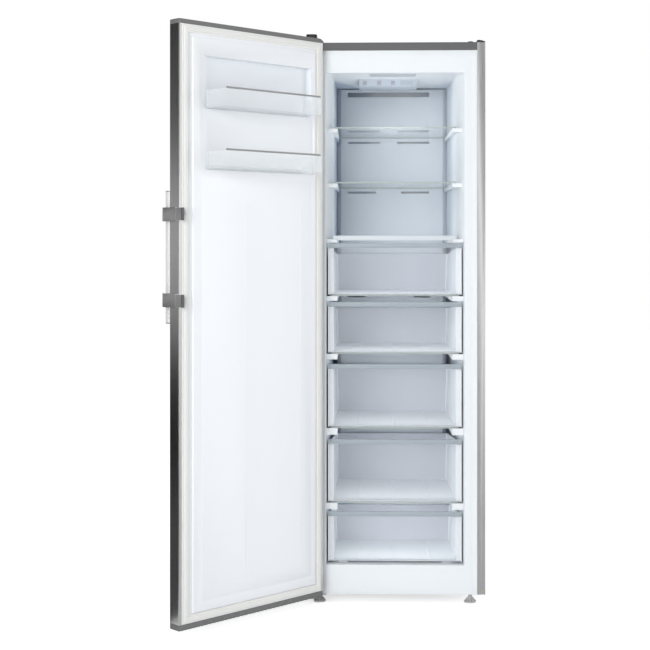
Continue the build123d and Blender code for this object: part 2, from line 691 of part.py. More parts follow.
for number, (low, high, depth) in enumerate(DRAWERS, 1):
    with BuildPart() as drawer_front:
        block((-DRAWER_FRONT_HALF, DRAWER_FRONT_HALF), from_front(DRAWER_FRONT_Y), (low, high))
        block((-DRAWER_FRONT_HALF, DRAWER_FRONT_HALF), from_front(GRIP_Y), (high - GRIP_HEIGHT, high))
        grip_front = drawer_front.edges().filter_by(Axis.X).group_by(Axis.Y)[0]
        fillet(grip_front, GRIP_ROUND)
        rib_y = (DRAWER_FRONT_Y[0] - FRONT_RIB / 2, DRAWER_FRONT_Y[0])
        block((-DRAWER_FRONT_HALF, DRAWER_FRONT_HALF), from_front(rib_y), (low, low + FRONT_RIB))
        if depth < DRAWERS[0][2]:
            for hand in (-1, 1):
                span = sorted((hand * SKIRT_X[0], hand * SKIRT_X[1]))
                block(span, from_front(DRAWER_FRONT_Y), (low - SKIRT_DROP, low))
    save(drawer_front.part, f"drawer_front_{number}")

    taper = (TUB_HALF[0] - TUB_HALF[1]) / (DRAWERS[0][2] - TUB_FRONT_Y)
    rear_half_width = TUB_HALF[0] - taper * (depth - TUB_FRONT_Y)
    shell = ((TUB_HALF[0], TUB_FRONT_Y), (rear_half_width, depth))
    rim = ((TUB_HALF[0] + RIM_WIDTH / 2, TUB_FRONT_Y), (rear_half_width + RIM_WIDTH, depth + RIM_WIDTH / 2))
    room = ((TUB_HALF[0] - TUB_WALL, TUB_FRONT_Y), (rear_half_width - TUB_WALL, depth - TUB_WALL))
    floor_low = low + TUB_LIFT
    tub_top = high - TUB_TOP_DROP
    with BuildPart() as drawer_tub:
        drafted(narrowed(shell), both_sides(shell), (floor_low, tub_top))
        prism(both_sides(rim), (tub_top - RIM_THICK, tub_top))
        drafted(narrowed(room), both_sides(room), (floor_low + TUB_FLOOR, tub_top), mode=Mode.SUBTRACT)
        for x in TUB_RIB_X:
            rib_span = (x - TUB_RIB[0] / 2, x + TUB_RIB[0] / 2)
            rib_y = from_front((TUB_FRONT_Y, depth - TUB_WALL))
            block(rib_span, rib_y, (floor_low + TUB_FLOOR, floor_low + TUB_FLOOR + TUB_RIB[1]))
        for hand in (-1, 1):
            post = sorted((hand * (TUB_HALF[0] - TUB_DRAFT - TUB_POST), hand * TUB_HALF[0]))
            post_y = from_front((TUB_FRONT_Y, TUB_FRONT_Y + TUB_WALL))
            block(post, post_y, (floor_low, tub_top))
            cut = sorted((hand * (rear_half_width - 2 * TUB_WALL), hand * (TUB_HALF[0] + 2 * RIM_WIDTH)))
            notch_shift = DRAWERS[0][2] - depth
            notch_y = from_front((NOTCH_Y[0] - notch_shift, NOTCH_Y[1] - notch_shift))
            block(cut, notch_y, (tub_top - NOTCH_DEPTH, tub_top), mode=Mode.SUBTRACT)
    save(drawer_tub.part, f"drawer_tub_{number}")

# ---------------------------------------------------------------- feet and rollers
for side_name, hand in (("left", -1), ("right", 1)):
    foot_spot = (hand * FOOT_X, FRONT + FOOT_Y)
    with BuildPart() as foot:
        stacked(foot_spot, FOOT_SIDES, FOOT_PAD)
        stacked(foot_spot, FOOT_SIDES // 2, FOOT_CORE)
        for turn in range(FOOT_RIB_PAIRS):
            spoke = Vector(1, 0, 0).rotate(Axis.Z, 180 * turn / FOOT_RIB_PAIRS)
            with BuildSketch(Plane((*foot_spot, 0), x_dir=spoke, z_dir=spoke.cross(Vector(0, 0, 1)))):
                with BuildLine():
                    Polyline(*FOOT_RIB, close=True)
                make_face()
            extrude(amount=FOOT_RIB_THICK / 2, both=True)
        pillar(foot_spot, FOOT_STEM_R, FOOT_STEM_Z)
    save(foot.part, f"foot_{side_name}")

    roller_start = hand * ROLLER_X - ROLLER_WIDTH / 2
    with BuildPart() as roller:
        with BuildSketch(Plane.YZ.offset(roller_start)):
            with Locations((FRONT + ROLLER_Y, ROLLER_R)):
                RegularPolygon(ROLLER_R, ROLLER_SIDES)
                Circle(ROLLER_BORE_R, mode=Mode.SUBTRACT)
        extrude(amount=ROLLER_WIDTH)
    save(roller.part, f"roller_{side_name}")

with BuildPart() as roller_brackets:
    for hand in (-1, 1):
        middle = hand * ROLLER_X
        fork_y = from_front((ROLLER_Y - FORK_HALF, ROLLER_Y + FORK_HALF))
        block((middle - FORK_OUTER, middle + FORK_OUTER), fork_y, (FORK_LOW_Z, BOTTOM))
        fork_room = (middle - FORK_INNER, middle + FORK_INNER)
        block(fork_room, fork_y, (FORK_LOW_Z, BOTTOM - FORK_PLATE), mode=Mode.SUBTRACT)
        with BuildSketch(Plane.YZ.offset(middle - FORK_OUTER)):
            with Locations((FRONT + ROLLER_Y, ROLLER_R)):
                Circle(AXLE_R)
        extrude(amount=2 * FORK_OUTER)
save(roller_brackets.part, "roller_brackets")

# ---------------------------------------------------------------- hinges
arm_x = (PIN_X - ARM_HALF, PIN_X + ARM_HALF)
with BuildPart() as top_hinge_bracket:
    block(TOP_PLATE_X, from_front(TOP_PLATE_Y), (TOP, TOP + TOP_PLATE_THICK))
    block(arm_x, from_front(TOP_RISER_Y), (TOP, TOP_ARM_Z[1]))
    block(arm_x, (PIN_Y, FRONT + TOP_RISER_Y[1]), TOP_ARM_Z)
    pillar((PIN_X, PIN_Y), ARM_HALF, TOP_ARM_Z)
    pillar((PIN_X, PIN_Y), PIN_R, TOP_ARM_Z, mode=Mode.SUBTRACT)
    for x, y in TOP_SCREWS:
        faceted((x, FRONT + y), SCREW_R + GAP, HOLE_SIDES, (TOP, TOP + TOP_PLATE_THICK), mode=Mode.SUBTRACT)
save(top_hinge_bracket.part, "top_hinge_bracket")

with BuildPart() as bottom_hinge_bracket:
    block(LOW_PLATE_X, (FRONT, FRONT + LOW_PLATE_DEPTH), LOW_PLATE_Z)
    block(arm_x, (PIN_Y, FRONT), LOW_PLATE_Z)
    pillar((PIN_X, PIN_Y), ARM_HALF, LOW_PLATE_Z)
    pillar((PIN_X, PIN_Y), PIN_R, LOW_PLATE_Z, mode=Mode.SUBTRACT)
    faceted((-FOOT_X, FRONT + FOOT_Y), LOW_FOOT_HOLE_R, HOLE_SIDES, LOW_PLATE_Z, mode=Mode.SUBTRACT)
    for x, y in LOW_SCREWS:
        faceted((x, FRONT + y), SCREW_R + GAP, HOLE_SIDES, LOW_PLATE_Z, mode=Mode.SUBTRACT)
save(bottom_hinge_bracket.part, "bottom_hinge_bracket")

with BuildPart() as hinge_pins:
    pillar((PIN_X, PIN_Y), PIN_R, TOP_PIN_Z)
    faceted((PIN_X, PIN_Y), PIN_HEAD[0], SCREW_SIDES, (TOP_PIN_Z[1], TOP_PIN_Z[1] + PIN_HEAD[1]))
    pillar((PIN_X, PIN_Y), PIN_R, BOTTOM_PIN_Z)
    faceted((PIN_X, PIN_Y), PIN_HEAD[0], SCREW_SIDES, (BOTTOM_PIN_Z[0] - PIN_HEAD[1], BOTTOM_PIN_Z[0]))
save(hinge_pins.part, "hinge_pins")

with BuildPart() as hinge_screws:
    for x, y in TOP_SCREWS:
        seat = TOP + TOP_PLATE_THICK
        faceted((x, FRONT + y), SCREW_R, SCREW_SIDES, (seat - SCREW_LENGTH, seat))
        faceted((x, FRONT + y), SCREW_HEAD[0], SCREW_SIDES, (seat, seat + SCREW_HEAD[1]))
    for x, y in LOW_SCREWS:
        seat = LOW_PLATE_Z[0]
        faceted((x, FRONT + y), SCREW_R, SCREW_SIDES, (seat, seat + SCREW_LENGTH))
        faceted((x, FRONT + y), SCREW_HEAD[0], SCREW_SIDES, (seat - SCREW_HEAD[1], seat))
save(hinge_screws.part, "hinge_screws")

arm_reach = (PIN_Y - ARM_HALF - COVER_WALL, FRONT + COVER_START_Y)
with BuildPart() as hinge_cover:
    block(COVER_ARM_X, arm_reach, COVER_ARM_Z)
    fillet(hinge_cover.edges().filter_by(Axis.Z).group_by(Axis.Y)[0], COVER_NOSE_R)
    crosswise(COVER_PROFILE, from_front((COVER_START_Y, COVER_END_Y)))
    hollow_y = from_front((COVER_START_Y + COVER_WALL, COVER_END_Y - COVER_WALL))
    crosswise(COVER_HOLLOW, hollow_y, mode=Mode.SUBTRACT)
    arm_room_y = (arm_reach[0] + COVER_WALL, FRONT + COVER_START_Y + COVER_WALL)
    arm_room_z = (TOP_ARM_Z[0] - SHEET, COVER_ARM_Z[1] - COVER_WALL)
    block((arm_x[0] - GAP, arm_x[1] + GAP), arm_room_y, arm_room_z, mode=Mode.SUBTRACT)
save(hinge_cover.part, "hinge_cover")

with BuildPart() as top_plugs:
    plug_spot = (PLUG_XY[0], FRONT + PLUG_XY[1])
    shoulder = TOP + PLUG_HEIGHT - PLUG_ROUND
    plug_levels = ((PLUG_R, TOP), (PLUG_R, shoulder), (PLUG_R - PLUG_ROUND, TOP + PLUG_HEIGHT))
    stacked(plug_spot, PLUG_SIDES, plug_levels)
    crosswise(CORNER_CAP, from_front((0, CORNER_CAP_DEPTH)))
save(top_plugs.part, "top_plugs")

# ---------------------------------------------------------------- door shell
door_mid_y = (DOOR_OUTER_Y + DOOR_INNER_Y) / 2
door_thick = DOOR_INNER_Y - DOOR_OUTER_Y
skin_z = (DOOR_Z[0] + BOTTOM_CAP, DOOR_Z[1] - TOP_CAP)


def door_plan(shrink, z, mode=Mode.ADD):
    """The door's rounded plan, shrunk by a wall, raised between two heights."""
    with BuildSketch(Plane.XY.offset(z[0])) as plan:
        with Locations((0, door_mid_y)):
            RectangleRounded(WIDTH - 2 * shrink, door_thick - 2 * shrink, DOOR_CORNER_R - shrink)
    extrude(plan.sketch, amount=z[1] - z[0], mode=mode)


with BuildPart() as door_skin:
    door_plan(0, skin_z)
    door_plan(SHEET, skin_z, mode=Mode.SUBTRACT)
    mouth = HALF - SKIN_RETURN
    block((-mouth, mouth), (DOOR_INNER_Y - 2 * SHEET, DOOR_INNER_Y), skin_z, mode=Mode.SUBTRACT)
save_door(door_skin.part, "door_skin")

for cap_name, plate_z, hollow_z, boss_z, bush_z in (
    (
        "door_top_cap",
        (DOOR_Z[1] - TOP_CAP, DOOR_Z[1]),
        (DOOR_Z[1] - TOP_CAP, DOOR_Z[1] - CAP_WALL),
        (DOOR_Z[1] - CAP_BOSS, DOOR_Z[1] - CAP_WALL),
        (DOOR_Z[1] - CAP_BOSS, DOOR_Z[1]),
    ),
    (
        "door_bottom_cap",
        (DOOR_Z[0], DOOR_Z[0] + BOTTOM_CAP),
        (DOOR_Z[0] + CAP_WALL, DOOR_Z[0] + BOTTOM_CAP),
        (DOOR_Z[0] + CAP_WALL, DOOR_Z[0] + CAP_BOSS),
        (DOOR_Z[0], DOOR_Z[0] + CAP_BOSS),
    ),
):
    with BuildPart() as door_cap:
        door_plan(0, plate_z)
        flat = door_cap.faces().sort_by(Axis.Z)
        chamfer(flat[-1 if "top" in cap_name else 0].edges(), CAP_EDGE)
        cap_room = HALF - CAP_WALL
        cap_room_y = (DOOR_OUTER_Y + CAP_WALL, DOOR_INNER_Y - CAP_WALL)
        block((-cap_room, cap_room), cap_room_y, hollow_z, mode=Mode.SUBTRACT)
        if "top" in cap_name:
            slope_end = (-HALF + CAP_END_SLOPE[0], DOOR_Z[1])
            corner = ((-HALF, DOOR_Z[1] - CAP_END_SLOPE[1]), slope_end, (-HALF, DOOR_Z[1]))
            crosswise(corner, (DOOR_OUTER_Y, DOOR_INNER_Y), mode=Mode.SUBTRACT)
        boss_x = (PIN_X - CAP_BOSS_HALF, PIN_X + CAP_BOSS_HALF)
        boss_y = (PIN_Y - CAP_BOSS_HALF, PIN_Y + CAP_BOSS_HALF)
        block(boss_x, boss_y, boss_z)
        pillar((PIN_X, PIN_Y), BUSH_R, bush_z, mode=Mode.SUBTRACT)
    save_door(door_cap.part, cap_name)

with BuildPart() as hinge_bushes:
    for z in ((DOOR_Z[1] - CAP_BOSS, DOOR_Z[1]), (DOOR_Z[0], DOOR_Z[0] + CAP_BOSS)):
        pillar((PIN_X, PIN_Y), BUSH_PRESS, z)
        pillar((PIN_X, PIN_Y), PIN_BORE_R, z, mode=Mode.SUBTRACT)
save_door(hinge_bushes.part, "hinge_bushes")

# ---------------------------------------------------------------- door liner and foam


def pocket(points, z, grow=0.0, mode=Mode.ADD):
    """A rack recess, given by its plan in front of the front plane, grown by a wall."""
    first, second, third, fourth = points
    plan = [
        (first[0] - grow, FRONT - first[1]),
        (second[0] - grow, FRONT - second[1] - grow),
        (third[0] + grow, FRONT - third[1] - grow),
        (fourth[0] + grow, FRONT - fourth[1]),
    ]
    prism(plan, (z[0] - grow, z[1] + grow), mode=mode)


liner_half = HALF - SKIN_RETURN - GAP
base_back = DOOR_INNER_Y - LINER_WALL
with BuildPart() as rack_recesses:
    pocket(UPPER_POCKET, UPPER_POCKET_Z, LINER_WALL)
    pocket(LOWER_POCKET, LOWER_POCKET_Z, LINER_WALL)

with BuildPart() as plateau_room:
    room_x = (PLATEAU_X[0] + LINER_WALL, PLATEAU_X[1] - LINER_WALL)
    room_z = (PLATEAU_Z[0] + LINER_WALL, PLATEAU_Z[1] - LINER_WALL)
    block(room_x, (base_back, PLATEAU_Y - LINER_WALL), room_z)
    add(rack_recesses.part, mode=Mode.SUBTRACT)

with BuildPart() as door_liner:
    block(PLATEAU_X, (base_back, PLATEAU_Y), PLATEAU_Z)
    raised = door_liner.edges().filter_by(Axis.Z).group_by(Axis.Y)[-1]
    fillet(raised, PLATEAU_ROUND)
    block((-liner_half, liner_half), (base_back, DOOR_INNER_Y), (skin_z[0] + GAP, skin_z[1] - GAP))
    block(DOOR_PAD_X, (PLATEAU_Y - LINER_WALL, PLATEAU_Y + DOOR_PAD_Y), DOOR_PAD_Z)
    for x in DOOR_RIB_X:
        rib_span = (x - DOOR_RIB[0] / 2, x + DOOR_RIB[0] / 2)
        block(rib_span, (PLATEAU_Y - LINER_WALL, PLATEAU_Y + DOOR_RIB[1]), DOOR_RIB_Z)
    add(rack_recesses.part)
    add(plateau_room.part, mode=Mode.SUBTRACT)
    pocket(UPPER_POCKET, UPPER_POCKET_Z, mode=Mode.SUBTRACT)
    pocket(LOWER_POCKET, LOWER_POCKET_Z, mode=Mode.SUBTRACT)
save_door(door_liner.part, "door_liner")

with BuildPart() as door_foam:
    foam_z = (skin_z[0] + GAP, skin_z[1] - GAP)
    door_plan(SHEET + GAP, foam_z)
    block((-HALF, HALF), (base_back - GAP, FRONT), foam_z, mode=Mode.SUBTRACT)
    pocket(UPPER_POCKET, UPPER_POCKET_Z, LINER_WALL + GAP, mode=Mode.SUBTRACT)
    pocket(LOWER_POCKET, LOWER_POCKET_Z, LINER_WALL + GAP, mode=Mode.SUBTRACT)
    recess((PIN_X, PIN_Y), BOSS_CLEAR, (foam_z[0], DOOR_Z[0] + CAP_BOSS + GAP))
    recess((PIN_X, PIN_Y), BOSS_CLEAR, (DOOR_Z[1] - CAP_BOSS - GAP, foam_z[1]))
save_door(door_foam.part, "door_foam")

with BuildPart() as door_gasket:
    for inset, width, reach in (
        (0, GASKET_WIDTH, GASKET_BASE),
        ((GASKET_WIDTH - GASKET_LIP) / 2, GASKET_LIP, GASKET_FRONT),
    ):
        edge_x = HALF - GASKET_EDGE - inset
        ring_y = (DOOR_INNER_Y, DOOR_INNER_Y + reach)
        outer_z = (GASKET_Z[0] + inset, GASKET_Z[1] - inset)
        inner_z = (outer_z[0] + width, outer_z[1] - width)
        block((-edge_x, edge_x), ring_y, outer_z)
        block((-edge_x + width, edge_x - width), ring_y, inner_z, mode=Mode.SUBTRACT)
    save_door(door_gasket.part, "door_gasket")

# ---------------------------------------------------------------- door racks
for rack_name, low in (("rack_upper", RACK_Z[0]), ("rack_lower", RACK_Z[1])):
    with BuildPart() as rack:
        prism([(x, FRONT + y) for x, y in RACK_PLAN], (low, low + RACK_HEIGHT))
        fillet(rack.edges().filter_by(Axis.Z).group_by(Axis.Y)[-1], RACK_ROUND)
        room = [(x, FRONT + y) for x, y in RACK_ROOM]
        prism(room, (low + RACK_FLOOR, low + RACK_HEIGHT), mode=Mode.SUBTRACT)
        mouth_x = (RACK_ROOM[0][0], RACK_ROOM[1][0])
        mouth_z = (low + RACK_BACK_LIP, low + RACK_HEIGHT)
        block(mouth_x, from_front(RACK_MOUTH_Y), mouth_z, mode=Mode.SUBTRACT)
    save_door(rack.part, rack_name)

with BuildPart() as rack_trims:
    for low in RACK_Z:
        rim_x = (RACK_PLAN[0][0] + RACK_ROUND, RACK_PLAN[1][0] - RACK_ROUND)
        rim_y = from_front((RACK_PLAN[0][1] - RACK_TRIM[0], RACK_PLAN[0][1]))
        block(rim_x, rim_y, (low + RACK_HEIGHT, low + RACK_HEIGHT + RACK_TRIM[1]))
save_door(rack_trims.part, "rack_trims")

# ---------------------------------------------------------------- handle
with BuildPart() as handle_bar:
    pillar(BAR_XY, BAR_R, BAR_Z)
save_door(handle_bar.part, "handle_bar")

with BuildPart() as bar_end_caps:
    pillar(BAR_XY, BAR_R, (BAR_Z[0] - BAR_CAP, BAR_Z[0]))
    pillar(BAR_XY, BAR_R, (BAR_Z[1], BAR_Z[1] + BAR_CAP))
save_door(bar_end_caps.part, "bar_end_caps")

with BuildPart() as handle_brackets:
    for middle in BRACKET_Z:
        span = (middle - BRACKET_HEIGHT / 2, middle + BRACKET_HEIGHT / 2)
        neck_span = (middle - NECK_HEIGHT / 2, middle + NECK_HEIGHT / 2)
        prism([(x, FRONT + y) for x, y in BRACKET_PLAN], span)
        pillar(BAR_XY, BRACKET_RING_R, span)
        pillar(BAR_XY, BAR_HOLE_R, span, mode=Mode.SUBTRACT)
        block(NECK_X, from_front(NECK_Y), neck_span)
save_door(handle_brackets.part, "handle_brackets")

with BuildPart() as handle_noses:
    for middle in BRACKET_Z:
        nose_y = from_front((NECK_Y[1], NECK_Y[1] + NOSE_DEPTH))
        block(NOSE_X, nose_y, (middle - NOSE_HEIGHT / 2, middle + NOSE_HEIGHT / 2))
save_door(handle_noses.part, "handle_noses")
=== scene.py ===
# %% [markdown]
# # An upright freezer with its door open
# The object is a tall steel-fronted freezer: a cabinet with glass shelves and clear drawers, and a
# thick door standing open on its left. The solid parts already exist as a frame of named nodes.
# This lesson dresses them: it rounds their edges, adds the fine pieces that a solid model leaves
# out, and gives every surface a procedural finish. Everything is in metres.

# %% Load the solids
import json
import math

import bmesh
import bpy
import numpy as np
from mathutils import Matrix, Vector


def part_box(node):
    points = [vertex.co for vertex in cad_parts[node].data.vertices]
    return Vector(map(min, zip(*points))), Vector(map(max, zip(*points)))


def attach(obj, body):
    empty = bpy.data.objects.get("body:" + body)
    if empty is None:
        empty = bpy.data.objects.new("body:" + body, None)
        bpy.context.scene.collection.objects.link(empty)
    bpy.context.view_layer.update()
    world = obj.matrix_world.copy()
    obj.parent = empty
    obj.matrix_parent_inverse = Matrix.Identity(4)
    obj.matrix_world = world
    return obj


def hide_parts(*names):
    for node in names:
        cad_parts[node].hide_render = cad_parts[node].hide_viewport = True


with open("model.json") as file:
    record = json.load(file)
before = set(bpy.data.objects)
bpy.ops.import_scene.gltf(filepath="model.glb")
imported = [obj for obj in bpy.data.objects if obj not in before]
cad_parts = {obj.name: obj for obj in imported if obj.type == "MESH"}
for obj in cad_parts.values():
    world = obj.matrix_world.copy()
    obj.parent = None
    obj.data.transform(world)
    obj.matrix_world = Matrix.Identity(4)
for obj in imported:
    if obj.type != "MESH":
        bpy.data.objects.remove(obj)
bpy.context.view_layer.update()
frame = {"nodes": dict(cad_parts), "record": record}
nodes = frame["nodes"]
record = frame["record"]
body_of_node = {}
for body, members in record["behaviour"]["bodies"].items():
    body_of_node.update({node: body for node in members})

# %% [markdown]
# ## Camera
# The view is nearly square to the cabinet, from about four and a half metres, a little left of its
# middle and at about two thirds of its height. A lens shift keeps the uprights upright, as in
# catalogue pictures, where the camera stays level.

# %% Camera
IMAGE_SIDE = 650
SENSOR = 36.0
FOCAL_PIXELS = 1343.7
LENS_SHIFT = (0.0066, -0.1223)
VIEW_END = 60.0
CAMERA_PLACE = (-0.1116, -4.7352, 1.1799)
CAMERA_TURN = math.radians(1.72)

camera_data = bpy.data.cameras.new("studio_camera")
camera_data.sensor_width = SENSOR
camera_data.lens = FOCAL_PIXELS / IMAGE_SIDE * SENSOR
camera_data.shift_x, camera_data.shift_y = LENS_SHIFT
camera_data.clip_end = VIEW_END
camera = bpy.data.objects.new("studio_camera", camera_data)
camera.location = CAMERA_PLACE
camera.rotation_euler = (math.pi / 2, 0.0, CAMERA_TURN)
bpy.context.scene.collection.objects.link(camera)
bpy.context.scene.camera = camera
bpy.context.scene.view_settings.view_transform = "Standard"
print("lens", round(camera_data.lens, 1), "mm")

# %% [markdown]
# ## Node helpers
# A finish is a small graph of shader nodes. These helpers add the parts that every finish shares:
# a material with its main shader, a noise that lies still on the object because it reads Object
# coordinates, a bump made from it, and a colour that wanders between two tones. A noise rarely
# comes near 0 or 1, so its useful middle is what gets stretched to the wanted range.


# %% Node helpers
NOISE_LOW, NOISE_HIGH = 0.3, 0.7


def finish_named(name, colour, roughness, metallic=0.0):
    """A material whose main shader has a plain colour, roughness and metallic value."""
    material = bpy.data.materials.new(name)
    material.use_nodes = True
    shader = material.node_tree.nodes["Principled BSDF"]
    shader.inputs["Base Color"].default_value = (*colour, 1.0)
    shader.inputs["Roughness"].default_value = roughness
    shader.inputs["Metallic"].default_value = metallic
    return material, material.node_tree, shader


def object_noise(tree, stretch, scale, detail=3.0):
    """A noise on the object's own coordinates, squeezed or stretched along each axis."""
    place = tree.nodes.new("ShaderNodeTexCoord")
    mapping = tree.nodes.new("ShaderNodeMapping")
    mapping.inputs["Scale"].default_value = stretch
    noise = tree.nodes.new("ShaderNodeTexNoise")
    noise.inputs["Scale"].default_value = scale
    noise.inputs["Detail"].default_value = detail
    tree.links.new(place.outputs["Object"], mapping.inputs["Vector"])
    tree.links.new(mapping.outputs["Vector"], noise.inputs["Vector"])
    return noise.outputs["Fac"]


def wander(tree, value, low, high, socket):
    """Maps a noise value to a range of plain numbers and feeds a socket with it."""
    spread = tree.nodes.new("ShaderNodeMapRange")
    spread.inputs["From Min"].default_value = NOISE_LOW
    spread.inputs["From Max"].default_value = NOISE_HIGH
    spread.inputs["To Min"].default_value = low
    spread.inputs["To Max"].default_value = high
    tree.links.new(value, spread.inputs["Value"])
    tree.links.new(spread.outputs["Result"], socket)


def tint(tree, value, first, second, socket):
    """Blends two colours by a noise value and feeds a colour socket."""
    ramp = tree.nodes.new("ShaderNodeValToRGB")
    ramp.color_ramp.elements[0].position = NOISE_LOW
    ramp.color_ramp.elements[1].position = NOISE_HIGH
    ramp.color_ramp.elements[0].color = (*first, 1.0)
    ramp.color_ramp.elements[1].color = (*second, 1.0)
    tree.links.new(value, ramp.inputs["Fac"])
    tree.links.new(ramp.outputs["Color"], socket)


def emboss(tree, shader, value, strength, distance):
    """Turns a noise value into a bump on the shader's normal."""
    bump = tree.nodes.new("ShaderNodeBump")
    bump.inputs["Strength"].default_value = strength
    bump.inputs["Distance"].default_value = distance
    tree.links.new(value, bump.inputs["Height"])
    tree.links.new(bump.outputs["Normal"], shader.inputs["Normal"])


def larger_of(tree, first, second):
    """The larger of two values: 1 as soon as either of two yes-or-no outputs is 1."""
    larger = tree.nodes.new("ShaderNodeMath")
    larger.operation = "MAXIMUM"
    tree.links.new(first, larger.inputs[0])
    tree.links.new(second, larger.inputs[1])
    return larger.outputs["Value"]


print("node helpers are ready")

# %% [markdown]
# ## Floor and reflection cards
# The freezer stands on a pale studio floor in even light. Brushed steel only looks like steel when
# it has something dark and something bright to mirror. Two upright cards stand outside the view for
# this, and two more lie on the floor, so that the foot of the steel mirrors no bright floor. All
# four are seen by glossy rays alone and cast neither light nor shadow on paint and plastic.


# %% Stage
FLOOR_REACH = 14.0
FLOOR_LIFT = 0.62


def stage_sheet(name, corners, material):
    """One flat four-cornered sheet of the studio, not part of the object."""
    mesh = bpy.data.meshes.new(name)
    mesh.from_pydata(corners, [], [(0, 1, 2, 3)])
    mesh.materials.append(material)
    sheet = bpy.data.objects.new(name, mesh)
    bpy.context.scene.collection.objects.link(sheet)
    return sheet


def studio_floor():
    """Pale floor: a matt white that keeps contact shadows, lifted for the camera and in glass."""
    material, tree, shader = finish_named("studio_floor", (0.93, 0.93, 0.93), 0.9)
    shader.inputs["Specular IOR Level"].default_value = 0.1
    path = tree.nodes.new("ShaderNodeLightPath")
    seen = larger_of(tree, path.outputs["Is Camera Ray"], path.outputs["Is Transmission Ray"])
    strength = tree.nodes.new("ShaderNodeMath")
    strength.operation = "MULTIPLY"
    strength.inputs[1].default_value = FLOOR_LIFT
    tree.links.new(seen, strength.inputs[0])
    shader.inputs["Emission Color"].default_value = (1.0, 1.0, 1.0, 1.0)
    tree.links.new(strength.outputs["Value"], shader.inputs["Emission Strength"])
    return material


floor_corners = [
    (x * FLOOR_REACH, y * FLOOR_REACH, 0)
    for x, y in ((-1, -1), (1, -1), (1, 1), (-1, 1))
]
stage_sheet("studio_floor", floor_corners, studio_floor())
print("floor reaches", FLOOR_REACH, "m each way")


# %% Reflection cards
def card_finish(name, stops):
    """Glow that changes with height: stops are (height in metres, strength).

    The object's own Z is divided by the last stop's height, and a colour ramp reads the result.
    """
    material = bpy.data.materials.new(name)
    material.use_nodes = True
    tree = material.node_tree
    tree.nodes.clear()
    place = tree.nodes.new("ShaderNodeTexCoord")
    split = tree.nodes.new("ShaderNodeSeparateXYZ")
    ramp = tree.nodes.new("ShaderNodeValToRGB")
    glow = tree.nodes.new("ShaderNodeEmission")
    out = tree.nodes.new("ShaderNodeOutputMaterial")
    span = tree.nodes.new("ShaderNodeMath")
    span.operation = "DIVIDE"
    top = stops[-1][0]
    span.inputs[1].default_value = top
    while len(ramp.color_ramp.elements) < len(stops):
        ramp.color_ramp.elements.new(0.5)
    for element, (height, strength) in zip(ramp.color_ramp.elements, stops):
        element.position = height / top
        element.color = (strength, strength, strength, 1.0)
    tree.links.new(place.outputs["Object"], split.inputs["Vector"])
    tree.links.new(split.outputs["Z"], span.inputs[0])
    tree.links.new(span.outputs["Value"], ramp.inputs["Fac"])
    tree.links.new(ramp.outputs["Color"], glow.inputs["Color"])
    tree.links.new(glow.outputs["Emission"], out.inputs["Surface"])
    return material


def glossy_only(sheet):
    """The sheet shows in reflections alone."""
    sheet.visible_camera = False
    sheet.visible_diffuse = False
    sheet.visible_transmission = False
    sheet.visible_volume_scatter = False
    sheet.visible_shadow = False
    return sheet


SIDE_STOPS = (
    (0.0, 0.05), (0.35, 0.01), (0.62, 0.025), (0.9, 0.26),
    (1.2, 0.4), (1.42, 0.34), (1.75, 0.1), (2.3, 0.03),
)
FRONT_STOPS = (
    (0.0, 0.62), (0.35, 0.64), (0.9, 0.8), (1.4, 0.95),
    (1.7, 1.35), (2.0, 1.55), (2.2, 0.6), (5.0, 0.14),
)
LOW_STOPS = ((0.0, 0.06), (1.0, 0.06))
APRON_STOPS = ((0.0, 0.5), (1.0, 0.5))
SIDE_X, SIDE_Y, SIDE_TOP = -1.55, (-2.8, 1.4), 3.3
FRONT_Y, FRONT_X, FRONT_TOP = -3.2, (2.2, -1.2), 5.0
LOW_EDGE = -0.76
APRON_X, APRON_EDGE = (-0.7, 2.2), -0.3
STANDING, LYING = 0.001, 0.002


def wall_of(ends, low, high):
    """The four corners of an upright sheet between two (x, y) ends."""
    first, last = ends
    return [(*first, low), (*last, low), (*last, high), (*first, high)]


def mat_of(x_range, y_range, height):
    """The four corners of a lying sheet over a range of x and of y."""
    (left, right), (near, far) = x_range, y_range
    return [(left, near, height), (right, near, height), (right, far, height), (left, far, height)]


side_ends = [(SIDE_X, y) for y in SIDE_Y]
front_ends = [(x, FRONT_Y) for x in FRONT_X]
CARDS = (
    ("side_card", wall_of(side_ends, STANDING, SIDE_TOP), SIDE_STOPS),
    ("low_card", mat_of((SIDE_X, LOW_EDGE), SIDE_Y, LYING), LOW_STOPS),
    ("front_card", wall_of(front_ends, STANDING, FRONT_TOP), FRONT_STOPS),
    ("apron_card", mat_of(APRON_X, (FRONT_Y, APRON_EDGE), LYING), APRON_STOPS),
)
for card, corners, stops in CARDS:
    glossy_only(stage_sheet(card, corners, card_finish(card, stops)))
print(len(CARDS), "reflection cards")

# %% [markdown]
# ## Air and lamps
# The air gives a soft light from everywhere, and shows as plain white where the camera, a mirror or
# glass looks into it. A Light Path node tells the two apart. A large softbox on the left front is
# the main light, and a weaker one on the right lights the open door. Small weak lamps stand inside
# the cabinet, because its real lamp and the bounce between white walls keep the depth bright.


# %% Air and lamps
AIR_STRENGTH = 0.45
AIR_COLOUR = (0.97, 0.985, 1.0)
GLOW_Y = -0.262
DRAWER_GLOW_SIZE = (0.34, 0.1)
DRAWER_GLOW_WATTS = 0.29
DRAWER_GLOW_SHARE = 0.6


def background(tree, colour, strength):
    """A plain background of one colour."""
    shader = tree.nodes.new("ShaderNodeBackground")
    shader.inputs["Color"].default_value = (*colour, 1.0)
    shader.inputs["Strength"].default_value = strength
    return shader.outputs["Background"]


